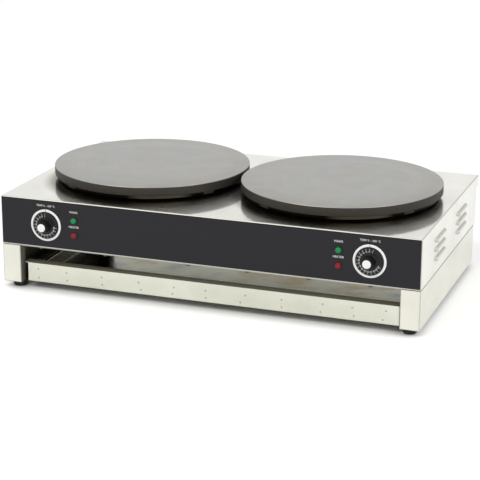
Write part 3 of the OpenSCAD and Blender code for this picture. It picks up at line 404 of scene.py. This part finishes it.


# aluminised steel, deep drawn: painted near black as painted shade under the plate, except for a painted lit
# patch on the front of its wall
def burntPan(name, look):
    material, tree, shader = newMaterial(name, Metallic=1.0)
    spoke = addNode(tree, "VectorMath", {0: fromPlate(tree)}, operation="NORMALIZE")
    # a paler patch on the front of the wall: painted light
    turn = math.radians(look["litTurn"])
    middle = (math.cos(turn), math.sin(turn), 0)
    along = addNode(tree, "VectorMath", {0: spoke, 1: middle}, operation="DOT_PRODUCT")
    outside, inside = [math.cos(math.radians(span)) for span in look["litSpan"]]
    near = addNode(tree, "MapRange", {0: (along, "Value"), 1: outside, 2: inside})
    facing = facingParts(tree)
    wall = addNode(tree, "MapRange", {0: (facing, "Z"), 1: look["wall"][0], 2: look["wall"][1]})
    paler = addNode(tree, "Math", {0: near, 1: wall}, operation="MULTIPLY")
    cloud = marks(tree, look["cloud"], 4.0)
    firstTone, secondTone = look["blackish"]
    blackish = addNode(tree, "Mix", {0: cloud, 6: firstTone, 7: secondTone}, data_type="RGBA")
    linkShader(tree, shader,
               addNode(tree, "Mix", {0: paler, 6: blackish, 7: look["paler"]}, data_type="RGBA"),
               addNode(tree, "MapRange", {0: cloud, 1: 0.3, 2: 0.7, 3: 0.42, 4: 0.55}),
               addNode(tree, "Bump", {"Height": marks(tree, look["draw"]), "Distance": look["drawDepth"] * mm,
                                      "Strength": 0.5}))
    return material


braidLook = {"gap": "#a88f3d", "yarn": "#d3bf6a", "yarnWidth": 0.9, "slant": 0.8, "depth": 0.12}


# glass fibre yarn braided over the wires
def glassBraid(name, look):
    material, tree, shader = newMaterial(name, Roughness=0.7, Specular_IOR_Level=0.3)
    place = addNode(tree, "TexCoord")
    yarns = []
    for turn in (look["slant"], -look["slant"]):
        turned = addNode(tree, "Mapping", {"Vector": (place, "Object"), "Rotation": (0, turn, turn)})
        yarns.append(addNode(tree, "TexWave", {"Vector": turned, "Scale": 0.4 / (look["yarnWidth"] * mm),
                                               "Distortion": 0.4}))
    braid = addNode(tree, "Math", {0: yarns[0], 1: yarns[1]}, operation="MAXIMUM")
    relief = addNode(tree, "Bump", {"Height": braid, "Distance": look["depth"] * mm, "Strength": 0.7})
    tone = addNode(tree, "Mix", {0: braid, 6: look["gap"], 7: look["yarn"]}, data_type="RGBA")
    linkShader(tree, shader, tone, normal=relief)
    return material


# prism is the pitch of the prisms, and depth their relief
lensLook = {"green": ("#057a3e", "#16a45a"), "red": ("#7c0c13", "#a81a24"), "prism": 1.6, "depth": 0.25}


# dyed acrylic, moulded with small prisms inside: a clear skin over a lively core
def dyedAcrylic(name, look, colour):
    material, tree, shader = newMaterial(name, Transmission_Weight=0.2, IOR=1.49, Specular_IOR_Level=0.22)
    pitch = 1 / (look["prism"] * mm)
    place = addNode(tree, "Mapping", {"Vector": (addNode(tree, "TexCoord"), "Object"),
                                      "Scale": [pitch, 60, pitch]})
    prisms = addNode(tree, "TexVoronoi", {"Vector": place, "Scale": 1.0, "Randomness": 0.15})
    ridges = addNode(tree, "MapRange", {0: prisms, 1: 0.1, 2: 0.6})
    dark, bright = look[colour]
    linkShader(tree, shader,
               addNode(tree, "Mix", {0: ridges, 6: dark, 7: bright}, data_type="RGBA"),
               addNode(tree, "MapRange", {0: prisms, 2: 0.7, 3: 0.12, 4: 0.22}),
               addNode(tree, "Bump", {"Height": prisms, "Distance": look["depth"] * mm, "Strength": 0.35}))
    return material


finishes = {name: simpleFinish(name, look) for name, look in simpleLooks.items()}
slotFinish = {
    "stainless_steel": brushedStainless("brushedStainlessSteel", steelLook),
    "mill_steel": brushedStainless("millStainlessSteel", millLook),
    "galvanised_steel": galvanisedSheet("galvanisedSteel", spangleLook),
    "front_film": velvetFilm("velvetPolycarbonate", filmLook),
    "cast_iron": griddleIron("turnedCastIron", ironLook),
    "foot_rubber": finishes["mouldedRubber"],
    "fastener_steel": finishes["zincPlatedSteel"],
    "heater_tube": finishes["heatedNickelAlloy"],
    "ceramic_wool": finishes["ceramicWool"],
    "pan_steel": burntPan("burntAluminisedSteel", panLook),
    "thermostat_body": finishes["paleBakelite"],
    "copper": finishes["drawnCopper"],
    "wire_sleeve": glassBraid("glassFibreBraid", braidLook),
    "terminal_plastic": finishes["pressedSteatite"],
    "gland_plastic": finishes["mouldedPolyamide"],
    "green_lens": dyedAcrylic("greenAcrylic", lensLook, "green"),
    "red_lens": dyedAcrylic("redAcrylic", lensLook, "red"),
    "white_plastic": finishes["whiteAbs"],
    "knob_plastic": finishes["blackBakelite"],
}
for node in frame["nodes"].values():
    slotName = node.data.materials[0].name.split(".")[0]
    node.data.materials[0] = slotFinish[slotName]
sheetZones = {
    "base_side_left": ("brushedSideLeft", sideLook, [(dullInside, insideLook)]),
    "base_side_right": ("brushedSideRight", sideLook, [(dullInside, insideLook)]),
    "top_casing": ("brushedDeck", deckLook, [(brownedDeck, deckShadeLook)]),
    "drawer_tray": ("millSteelTray", millLook, [(heatTint, blueLook), (heatTint, strawLook),
                                                (burntWalls, wallLook)]),
}
for nodeName, settings in sheetZones.items():
    frame["nodes"][nodeName].data.materials[0] = brushedStainless(*settings)

scene = bpy.context.scene
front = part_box("top_casing")[0].y
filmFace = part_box("front_overlay")[0].y
dialCentres = {name: Vector(joint["pos_m"]) for name, joint in
               ((j["child"].split("_")[-1], j) for j in frame["joints"] if j["type"] == "hinge")}


# turns a piece made upright at the origin so that its top faces the front
def facingFront(x, y, z):
    return Matrix.Translation((x, y, z)) @ Matrix.Rotation(math.radians(90), 4, "X")


# points of a circle's arc in the (radius, height) plane, in millimetres
def arc(centre, radius, start, end, steps):
    turns = [math.radians(start + (end - start) * i / steps) for i in range(steps + 1)]
    return [(centre[0] + radius * math.cos(t), centre[1] + radius * math.sin(t)) for t in turns]


# spins a profile of (radius, height) millimetres round Z and closes its poles
def spun(profile, steps):
    mesh = bmesh.new()
    points = [mesh.verts.new((r * mm, 0, h * mm)) for r, h in profile]
    for a, b in zip(points, points[1:]):
        mesh.edges.new((a, b))
    bmesh.ops.spin(mesh, geom=mesh.verts[:] + mesh.edges[:], cent=(0, 0, 0), axis=(0, 0, 1),
                   dvec=(0, 0, 0), angle=math.tau, steps=steps, use_merge=True)
    bmesh.ops.remove_doubles(mesh, verts=mesh.verts, dist=0.002 * mm)
    bmesh.ops.recalc_face_normals(mesh, faces=mesh.faces)
    return mesh


def box(mesh, size, centre):
    made = bmesh.ops.create_cube(mesh, size=1.0)["verts"]
    bmesh.ops.scale(mesh, vec=[s * mm for s in size], verts=made)
    bmesh.ops.translate(mesh, vec=[c * mm for c in centre], verts=made)


def bevelSharp(mesh, width, segments, angle):
    edges = [e for e in mesh.edges if len(e.link_faces) == 2 and e.calc_face_angle() > math.radians(angle)]
    bmesh.ops.bevel(mesh, geom=edges, offset=width * mm, offset_type="OFFSET", affect="EDGES",
                    segments=segments, profile=0.5, material=-1, clamp_overlap=True)


# places a finished bmesh as a piece that moves with a body
def addPiece(name, mesh, material, body, place=None, sharp=35):
    if place is not None:
        bmesh.ops.transform(mesh, matrix=place, verts=mesh.verts)
    data = bpy.data.meshes.new(name)
    mesh.to_mesh(data)
    mesh.free()
    data.materials.append(material)
    data.shade_smooth()
    data.set_sharp_from_angle(angle=math.radians(sharp))
    piece = bpy.data.objects.new(name, data)
    scene.collection.objects.link(piece)
    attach(piece, body)
    return piece


def thicken(mesh, thick):
    raised = bmesh.ops.extrude_face_region(mesh, geom=mesh.faces[:])["geom"]
    bmesh.ops.translate(mesh, vec=(0, 0, thick * mm),
                        verts=[part for part in raised if isinstance(part, bmesh.types.BMVert)])
    bmesh.ops.recalc_face_normals(mesh, faces=mesh.faces)


letterLook = {"bolder": 0.008, "curveSteps": 3}


# raised lettering as a bmesh centred on the origin, height millimetres tall
def lettering(text, height, thick):
    curve = bpy.data.curves.new("lettering", "FONT")
    curve.body = text
    curve.align_x = "CENTER"
    curve.offset = letterLook["bolder"]
    curve.resolution_u = letterLook["curveSteps"]
    flat = bpy.data.objects.new("lettering", curve)
    scene.collection.objects.link(flat)
    bpy.context.view_layer.update()
    shape = bpy.data.meshes.new_from_object(flat.evaluated_get(bpy.context.evaluated_depsgraph_get()))
    bpy.data.objects.remove(flat)
    bpy.data.curves.remove(curve)
    mesh = bmesh.new()
    mesh.from_mesh(shape)
    bpy.data.meshes.remove(shape)
    bmesh.ops.remove_doubles(mesh, verts=mesh.verts, dist=1e-5)
    low = [min(v.co[i] for v in mesh.verts) for i in (0, 1)]
    high = [max(v.co[i] for v in mesh.verts) for i in (0, 1)]
    centring = (-(low[0] + high[0]) / 2, -(low[1] + high[1]) / 2, 0)
    bmesh.ops.translate(mesh, vec=centring, verts=mesh.verts)
    bmesh.ops.scale(mesh, vec=[height * mm / (high[1] - low[1])] * 2 + [1], verts=mesh.verts)
    thicken(mesh, thick)
    return mesh


# joins one bmesh into another at a place
def merge(target, part, place):
    bmesh.ops.transform(part, matrix=place, verts=part.verts)
    holder = bpy.data.meshes.new("holder")
    part.to_mesh(holder)
    part.free()
    target.from_mesh(holder)
    bpy.data.meshes.remove(holder)


print("griddle plates")

plateLook = {"rim": 18, "rimWall": 6.6, "disc": 13, "topEdge": 1.6, "footEdge": 1.0, "hollow": 3,
             "steps": 240, "lugWidth": 25, "lugHeight": 7, "lugThick": 0.4, "lugIn": 4, "lugEdge": 1.6,
             "lugSunk": 1, "lugStart": 57}


# a lug that hangs under the rim at x and curves with it
def makeLug(outer, look):
    radius = (outer - look["lugIn"]) * mm
    lug = bmesh.new()
    box(lug, (look["lugThick"], look["lugWidth"], look["lugHeight"]), (0, 0, 0))
    crossing = [e for e in lug.edges if abs(e.verts[0].co.y - e.verts[1].co.y) > mm]
    bmesh.ops.subdivide_edges(lug, edges=crossing, cuts=5, use_grid_fill=True)
    for v in lug.verts:
        swing, reach = v.co.y / radius, radius + v.co.x
        v.co = Vector((reach * math.cos(swing), reach * math.sin(swing), v.co.z))
    bmesh.ops.recalc_face_normals(lug, faces=lug.faces)
    bevelSharp(lug, look["lugEdge"], 3, 50)
    return lug


# a turned plate: flat top, rounded edge, rim wall that hangs below the disc, and four lugs under it
def makePlate(side, look):
    low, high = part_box("plate_" + side)
    outer = (high.x - low.x) / 2 / mm
    inner = outer - look["rimWall"]
    topEdge, footEdge, hollow = look["topEdge"], look["footEdge"], look["hollow"]
    footLevel = footEdge - look["rim"]
    profile = [(0, 0), (outer * 0.5, 0)]
    profile += arc((outer - topEdge, -topEdge), topEdge, 90, 0, 5)
    profile += arc((outer - footEdge, footLevel), footEdge, 0, -90, 4)
    profile += arc((inner + footEdge, footLevel), footEdge, -90, -180, 4)
    profile += arc((inner - hollow, -look["disc"] - hollow), hollow, 0, 90, 4)
    profile += [(0, -look["disc"])]
    mesh = spun(profile, look["steps"])
    lugLevel = Matrix.Translation((0, 0, (look["lugSunk"] - look["rim"] - look["lugHeight"] / 2) * mm))
    for quarter in range(4):
        turn = Matrix.Rotation(math.radians(look["lugStart"] + 90 * quarter), 4, "Z")
        merge(mesh, makeLug(outer, look), turn @ lugLevel)
    centre = Matrix.Translation(((low.x + high.x) / 2, (low.y + high.y) / 2, high.z))
    turned = Matrix.Rotation(math.pi if side == "right" else 0, 4, "Z")
    plate = addPiece("griddle" + side.title(), mesh, slotFinish["cast_iron"], "frame", centre @ turned)
    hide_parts("plate_" + side)


for side in ("left", "right"):
    makePlate(side, plateLook)

print("dials")

knobLook = {"back": 1.3, "face": 5.3, "skirt": 26.3, "skirtWall": 2, "backEdge": 0.3, "round": 0.7,
            "grip": 13, "gripFoot": 1.5, "gripEnd": 10.5, "end": 22.6, "endEdge": 1.2, "rings": 14,
            "flutes": 16, "flute": 0.55, "fluteFoot": 7.2, "fluteRun": 1.5, "cap": 8.1, "capEnd": 24,
            "steps": 192, "turned": {"left": 0, "right": -18}}
scaleLook = {"marks": 16, "pitch": 17.5, "top": 300, "digits": 3.4, "digitInk": 0.06, "squeeze": 0.68,
             "digitRing": 19.5, "tickIn": 22.4, "tickOut": 24.8, "tickWidth": 0.7, "band": (16.2, 25.5),
             "bandEnds": (81, 362), "ink": 0.05}
ringLook = {"outer": 32, "inner": 27.3, "thick": 1.8, "round": 0.6, "index": 1.1, "ink": 0.05, "steps": 160}


# a skirt with a fluted, tapered grip on it, moulded in one
def makeKnob(side, place, look):
    back, face, skirt, end = look["back"], look["face"], look["skirt"], look["end"]
    wall, edge, foot, endEdge = look["skirtWall"], look["round"], look["gripFoot"], look["endEdge"]
    gripLow, gripHigh = face + foot, end - endEdge
    profile = [(skirt - wall, back + wall), (skirt - wall, back), (skirt - look["backEdge"], back),
               (skirt, back + look["backEdge"])]
    profile += arc((skirt - edge, face - edge), edge, 0, 90, 4)
    profile += [(look["grip"] + 4, face)] + arc((look["grip"] + foot, gripLow), foot, -90, -180, 5)
    for i in range(1, look["rings"] + 1):
        height = gripLow + (gripHigh - gripLow) * i / look["rings"]
        taper = (look["gripEnd"] - look["grip"]) * (height - gripLow) / (end - gripLow)
        profile.append((look["grip"] + taper, height))
    profile += arc((look["gripEnd"] - endEdge, gripHigh), endEdge, 0, 90, 4)
    profile += [(look["cap"] - 1, end)]
    mesh = spun(profile, look["steps"])
    for v in mesh.verts:
        height, radius = v.co.z / mm, math.hypot(v.co.x, v.co.y) / mm
        if height > look["fluteFoot"] and radius > look["cap"]:
            wave = math.cos(look["flutes"] * math.atan2(v.co.y, v.co.x))
            run = min(1.0, (height - look["fluteFoot"]) / look["fluteRun"])
            cut = 1 - look["flute"] / radius * run * max(0.0, wave) ** 1.5
            v.co.x, v.co.y = v.co.x * cut, v.co.y * cut
    knob = addPiece("knob" + side.title(), mesh, finishes["blackBakelite"], "dial_knob_" + side, place)
    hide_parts("knob_" + side)
    cap, top = look["cap"], look["capEnd"]
    lid = spun([(0, end), (cap, end)] + arc((cap - 0.5, top - 0.7), 0.5, 0, 70, 4)
               + [(cap * 0.6, top - 0.08), (0, top)], 96)
    cover = addPiece("knobCap" + side.title(), lid, finishes["whiteAbs"], "dial_knob_" + side, place)
    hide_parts("knob_cap_" + side)


# a flat sector of a ring, from one angle in degrees to another
def sector(inner, outer, start, end, steps):
    mesh = bmesh.new()
    turns = [math.radians(start + (end - start) * i / steps) for i in range(steps + 1)]
    rows = [[mesh.verts.new((radius * mm * math.cos(t), radius * mm * math.sin(t), 0)) for t in turns]
            for radius in (inner, outer)]
    for i in range(steps):
        mesh.faces.new((rows[0][i], rows[1][i], rows[1][i + 1], rows[0][i + 1]))
    return mesh


# numbers and ticks that turn with the knob, counted anticlockwise from its zero mark at the top
def makeScale(side, place, look, face):
    lift = Matrix.Translation((0, 0, face * mm))
    band = sector(*look["band"], *look["bandEnds"], 120)
    thicken(band, look["ink"])
    addPiece("scaleBand" + side.title(), band, finishes["blackInk"], "dial_knob_" + side, place @ lift)
    numbers = bmesh.new()
    for i in range(look["marks"]):
        turn = Matrix.Rotation(math.radians(i * look["pitch"]), 4, "Z")
        value = i * look["top"] // (look["marks"] - 1)
        digits = lettering(str(value), look["digits"], look["digitInk"])
        bmesh.ops.scale(digits, vec=(look["squeeze"], 1, 1), verts=digits.verts)
        merge(numbers, digits, turn @ Matrix.Translation((0, look["digitRing"] * mm, 0)))
        tick = bmesh.new()
        box(tick, (look["tickWidth"], look["tickOut"] - look["tickIn"], look["ink"]),
            (0, (look["tickIn"] + look["tickOut"]) / 2, look["ink"] / 2))
        merge(numbers, tick, turn)
    lift = Matrix.Translation((0, 0, (face + look["ink"]) * mm))
    addPiece("scaleNumbers" + side.title(), numbers, finishes["whiteInk"], "dial_knob_" + side, place @ lift)


# a fixed ring round the dial, with its index mark at the top
def makeRing(side, place, look):
    outer, inner, thick, edge = look["outer"], look["inner"], look["thick"], look["round"]
    profile = [(inner, 0), (outer, 0)] + arc((outer - edge, thick - edge), edge, 0, 90, 4)
    profile += arc((inner + edge, thick - edge), edge, 90, 180, 4) + [(inner, 0)]
    ring = addPiece("dialRing" + side.title(), spun(profile, look["steps"]), finishes["whiteAbs"], "frame",
                    place)
    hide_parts("dial_ring_" + side)
    index = bmesh.new()
    box(index, (look["index"], outer - inner - 2 * edge, look["ink"]),
        (0, (outer + inner) / 2, thick + look["ink"] / 2))
    addPiece("indexMark" + side.title(), index, finishes["blackInk"], "frame", place)


for side, centre in dialCentres.items():
    panel = facingFront(centre.x, front, centre.z)
    turned = panel @ Matrix.Rotation(math.radians(knobLook["turned"][side]), 4, "Z")
    makeKnob(side, turned, knobLook)
    makeScale(side, turned, scaleLook, knobLook["face"])
    makeRing(side, facingFront(centre.x, filmFace, centre.z), ringLook)

print("lamps and lettering")

# cut lists how far in from the lens's rim and face its facets lie
lampLook = {"lens": 5.7, "out": 4.5, "cut": ((0, 1.6), (0.5, 0.9), (1.9, 0.2)), "facets": 24,
            "bezel": 7.4, "bezelOut": 1.3, "bezelRound": 0.5, "bezelSteps": 72}
labelLook = {"dialText": "TEMP 0 \u2013 300 \u00b0C", "dialRise": 39.5, "dialHeight": 4.2,
             "lampText": {"power": "MAINS", "heat": "HEATER"}, "lampRise": 16.8, "lampHeight": 4.2,
             "ink": 0.04}


# a clipped-in lamp: a black collar round a cut lens
def makeLamp(name, place, look):
    lens, out, bezel, collar, edge = [look[key] for key in ("lens", "out", "bezel", "bezelOut", "bezelRound")]
    glass = spun([(0, 0), (lens, 0)] + [(lens - inward, out - down) for inward, down in look["cut"]]
                 + [(lens * 0.3, out), (0, out)], look["facets"])
    colour = "green" if name.startswith("power") else "red"
    piece = addPiece(name, glass, slotFinish[colour + "_lens"], "frame", place, sharp=12)
    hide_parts(name)
    ring = spun([(lens + 0.05, 0), (bezel, 0)] + arc((bezel - edge, collar - edge), edge, 0, 90, 4)
                + [(lens + 0.9, collar), (lens + 0.05, collar - 0.7), (lens + 0.05, 0)], look["bezelSteps"])
    addPiece(name + "Collar", ring, finishes["mouldedPolyamide"], "frame", place)


for kind in ("power", "heat"):
    for side in ("left", "right"):
        low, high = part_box(f"{kind}_lamp_{side}")
        x, z = (low.x + high.x) / 2, (low.z + high.z) / 2
        makeLamp(f"{kind}_lamp_{side}", facingFront(x, filmFace, z), lampLook)
        label = lettering(labelLook["lampText"][kind], labelLook["lampHeight"], labelLook["ink"])
        addPiece(f"{kind}Label{side.title()}", label, finishes["whiteInk"], "frame",
                 facingFront(x, filmFace, z + labelLook["lampRise"] * mm))
for side, centre in dialCentres.items():
    label = lettering(labelLook["dialText"], labelLook["dialHeight"], labelLook["ink"])
    addPiece("dialLabel" + side.title(), label, finishes["whiteInk"], "frame",
             facingFront(centre.x, filmFace, centre.z + labelLook["dialRise"] * mm))

print("drawer front")

# ends is how far in the body of the bar stops from the left and right end of its shelf, and the weld
# rows give x along the bar; bow is how much higher the upper row stands at its ends
barLook = {"sheet": 1.2, "fold": 0.4, "lip": 12, "shelf": 24, "ends": (9, 0.5), "steps": 5,
           "upperWelds": (-355, -293, -217, -138, -64, 2, 83, 156, 237, 295, 360), "upperRow": 37.6,
           "lowerWelds": (-354, -292, -216, -133, -67, 2, 73, 156, 233, 298, 354), "lowerRow": 23.8,
           "bow": 4.6, "slip": 0.8, "weld": 2.0, "dent": ((0, 0.02), (0.6, 0.03), (0.8, 0.1), (1, 0))}


# a channel bent from one sheet, whose shelf on top reaches further out than its body
def makeDrawerFront(look):
    low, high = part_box("drawer_front")
    fold, sheet, shelf = look["fold"], look["sheet"], look["shelf"]
    left, right = low.x / mm + look["ends"][0], high.x / mm - look["ends"][1]
    tall = (high.z - low.z) / mm
    bends = [math.pi / 2 * i / look["steps"] for i in range(look["steps"] + 1)]
    path = [(look["lip"], 0)] + [(fold - fold * math.sin(t), fold - fold * math.cos(t)) for t in bends]
    path += [(fold - fold * math.cos(t), tall - fold + fold * math.sin(t)) for t in bends]
    path += [(shelf, tall)]
    mesh = bmesh.new()
    rows = [[mesh.verts.new((x * mm, y * mm, z * mm)) for y, z in path] for x in (left, right)]
    for i in range(len(path) - 1):
        mesh.faces.new((rows[0][i], rows[0][i + 1], rows[1][i + 1], rows[1][i]))
    bmesh.ops.recalc_face_normals(mesh, faces=mesh.faces)
    face = max(mesh.faces, key=lambda f: f.calc_area())
    if face.normal.y > 0:
        bmesh.ops.reverse_faces(mesh, faces=mesh.faces[:])
    bmesh.ops.solidify(mesh, geom=mesh.faces[:], thickness=sheet * mm)
    for start, end in ((low.x / mm, left), (right, high.x / mm)):
        box(mesh, (end - start, shelf - 2 * sheet, sheet),
            ((start + end) / 2, sheet + shelf / 2, tall - sheet / 2))
    steel = brushedStainless("brushedDrawerFront", barSteelLook, [(dullShelf, shelfLook)])
    bar = addPiece("drawerFront", mesh, steel, "drawer", Matrix.Translation((0, low.y, low.z)),
                   sharp=25)
    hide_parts("drawer_front")
    welds = bmesh.new()
    bow = look["bow"] / look["upperWelds"][-1] ** 2
    places = [(x, look["lowerRow"]) for x in look["lowerWelds"]]
    places += [(x, look["upperRow"] + bow * x ** 2) for x in look["upperWelds"]]
    for x, z in places:
        dent = spun([(look["weld"] * share, height) for share, height in look["dent"]], 20)
        level = z + random.uniform(-look["slip"], look["slip"])
        merge(welds, dent, facingFront(x * mm, low.y, level * mm))
    addPiece("spotWelds", welds, finishes["tintedSteel"], "drawer")


makeDrawerFront(barLook)

print("screws")

# coverPlaces gives each screw's x as a share of the half width
screwLook = {"head": 4.0, "headTall": 2.7, "washer": 5.2, "washerThick": 1.0, "slotLong": 4.6,
             "slotWide": 0.9, "coverPlaces": (-0.808, -0.485, -0.077, 0.206, 0.489, 0.773), "rearInset": 4}


# a cross-headed screw on its washer, head up along Z from the washer's underside
def screwHead(look):
    head, washer, thick = look["head"], look["washer"], look["washerThick"]
    top = thick + look["headTall"]
    mesh = spun([(0, 0), (washer - 0.2, 0), (washer, 0.2), (washer, thick - 0.25), (washer - 0.3, thick),
                 (head, thick), (head, thick + 0.9)] + arc((head - 1.6, top - 1.8), 1.7, 15, 75, 4)
                + [(look["slotLong"] / 2, top - 0.1), (0, top)], 48)
    recess = bmesh.new()
    for turn in (0, 90):
        bar = bmesh.new()
        box(bar, (look["slotLong"], look["slotWide"], 0.06), (0, 0, top + 0.01))
        merge(recess, bar, Matrix.Rotation(math.radians(turn), 4, "Z"))
    return mesh, recess


def addScrews(node, places, finish):
    heads, recesses = bmesh.new(), bmesh.new()
    for place in places:
        turned = place @ Matrix.Rotation(random.uniform(0, math.tau), 4, "Z")
        head, recess = screwHead(screwLook)
        merge(heads, head, turned)
        merge(recesses, recess, turned)
    piece = addPiece(node + "Heads", heads, finishes[finish], "frame")
    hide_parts(node)
    addPiece(node + "Recesses", recesses, finishes["blackInk"], "frame")


low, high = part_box("cover_screws")
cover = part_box("bottom_cover")[0].z
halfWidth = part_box("base_side_right")[1].x
headDown = Matrix.Rotation(math.pi, 4, "X")
addScrews("cover_screws", [Matrix.Translation((share * halfWidth, (low.y + high.y) / 2, cover)) @ headDown
                           for share in screwLook["coverPlaces"]], "dulledZincSteel")
low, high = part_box("rear_screws")
inset = screwLook["rearInset"] * mm
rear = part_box("rear_cover")[1].y
headBack = Matrix.Rotation(math.radians(-90), 4, "X")
addScrews("rear_screws", [Matrix.Translation((x, rear, z)) @ headBack for x in (low.x + inset, high.x - inset)
                          for z in (low.z + inset, high.z - inset)], "zincPlatedSteel")

print("camera and light")

viewLook = {"place": (1.07614, -3.01821, 1.06884), "yaw": 19.748, "pitch": 17.211, "roll": 0.2063,
            "lens": 123.43, "sensor": 36, "farthest": 60}
# places, sizes and the lift's reach are in metres, and powers in watts
lightLook = {"keyLight": {"place": (-1.2, -2.4, 3.0), "size": (2.4, 1.8), "power": 56, "target": (0, 0, 0.1)},
             "fillLight": {"place": (2.6, -1.2, 2.2), "size": (1.8, 1.8), "power": 32, "target": (0, 0, 0.1)}}
groundLook = {"sky": 0.55, "tones": ("#e9e9e7", "#ededec"), "grain": 3, "size": 12, "liftReach": (0.3, 2.5),
              "lift": (0.35, 0.48), "shadeStart": -36, "shadeWidth": 44}

camera = bpy.data.objects.new("camera", bpy.data.cameras.new("camera"))
scene.collection.objects.link(camera)
camera.data.lens = viewLook["lens"]
camera.data.sensor_width = viewLook["sensor"]
camera.data.clip_end = viewLook["farthest"]
camera.matrix_world = (Matrix.Translation(viewLook["place"])
                       @ Matrix.Rotation(math.radians(viewLook["yaw"]), 4, "Z")
                       @ Matrix.Rotation(math.radians(90 - viewLook["pitch"]), 4, "X")
                       @ Matrix.Rotation(math.radians(viewLook["roll"]), 4, "Z"))
scene.camera = camera

scene.view_settings.view_transform = "Standard"


# 1 where the camera, a reflection or a clear material looks, and 0 where light is only gathered
def raysSeen(tree):
    rays = addNode(tree, "LightPath")
    direct, mirrored, clear = [(rays, f"Is {kind} Ray") for kind in ("Camera", "Glossy", "Transmission")]
    seen = addNode(tree, "Math", {0: direct, 1: mirrored}, operation="MAXIMUM")
    return addNode(tree, "Math", {0: seen, 1: clear}, operation="MAXIMUM")


world = bpy.data.worlds.new("studio")
scene.world = world
world.use_nodes = True
sky = world.node_tree
skyLight = sky.nodes["Background"]
strength = addNode(sky, "MapRange", {0: raysSeen(sky), 3: groundLook["sky"], 4: 1.0})
sky.links.new(strength.outputs[0], skyLight.inputs["Strength"])
skyLight.inputs["Color"].default_value = (1, 1, 1, 1)


def addSoftbox(name, look):
    lamp = bpy.data.lights.new(name, "AREA")
    lamp.shape = "RECTANGLE"
    lamp.size, lamp.size_y = look["size"]
    lamp.energy = look["power"]
    holder = bpy.data.objects.new(name, lamp)
    scene.collection.objects.link(holder)
    holder.location = look["place"]
    away = Vector(look["place"]) - Vector(look["target"])
    holder.rotation_euler = away.to_track_quat("Z", "Y").to_euler()


for name, look in lightLook.items():
    addSoftbox(name, look)

floorMesh = bmesh.new()
bmesh.ops.create_grid(floorMesh, x_segments=1, y_segments=1, size=groundLook["size"])
floorData = bpy.data.meshes.new("floor")
floorMesh.to_mesh(floorData)
floorMesh.free()
floor = bpy.data.objects.new("floor", floorData)
scene.collection.objects.link(floor)
# white seamless paper, lifted to pure white where the camera or a reflection sees it
paper, paperTree, paperShader = newMaterial("seamlessPaper", Roughness=0.9, Specular_IOR_Level=0.1,
                                            Emission_Color=(1, 1, 1, 1))
grain = marks(paperTree, groundLook["grain"], 3.0)
firstTone, secondTone = groundLook["tones"]
paperTone = addNode(paperTree, "Mix", {0: grain, 6: firstTone, 7: secondTone}, data_type="RGBA")
linkShader(paperTree, paperShader, paperTone)
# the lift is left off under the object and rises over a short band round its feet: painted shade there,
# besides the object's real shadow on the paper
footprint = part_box("top_casing")[1]
spot = placeParts(paperTree)
away = []
for axis, half in (("X", footprint.x), ("Y", footprint.y)):
    edge = half + groundLook["shadeStart"] * mm
    span = addNode(paperTree, "Math", {0: (spot, axis)}, operation="ABSOLUTE")
    beyond = addNode(paperTree, "Math", {0: span, 1: edge}, operation="SUBTRACT")
    away.append(addNode(paperTree, "Math", {0: beyond, 1: 0.0}, operation="MAXIMUM"))
outward = addNode(paperTree, "CombineXYZ", {0: away[0], 1: away[1]})
clear = (addNode(paperTree, "VectorMath", {0: outward}, operation="LENGTH"), "Value")
nearby, distant = groundLook["liftReach"]
nearLift, farLift = groundLook["lift"]
reach = addNode(paperTree, "MapRange", {0: clear, 1: nearby, 2: distant, 3: nearLift, 4: farLift})
shade = addNode(paperTree, "MapRange", {0: clear, 2: groundLook["shadeWidth"] * mm, 4: reach},
                interpolation_type="SMOOTHSTEP")
lift = addNode(paperTree, "Math", {0: raysSeen(paperTree), 1: shade}, operation="MULTIPLY")
paperTree.links.new(lift.outputs[0], paperShader.inputs["Emission Strength"])
floorData.materials.append(paper)
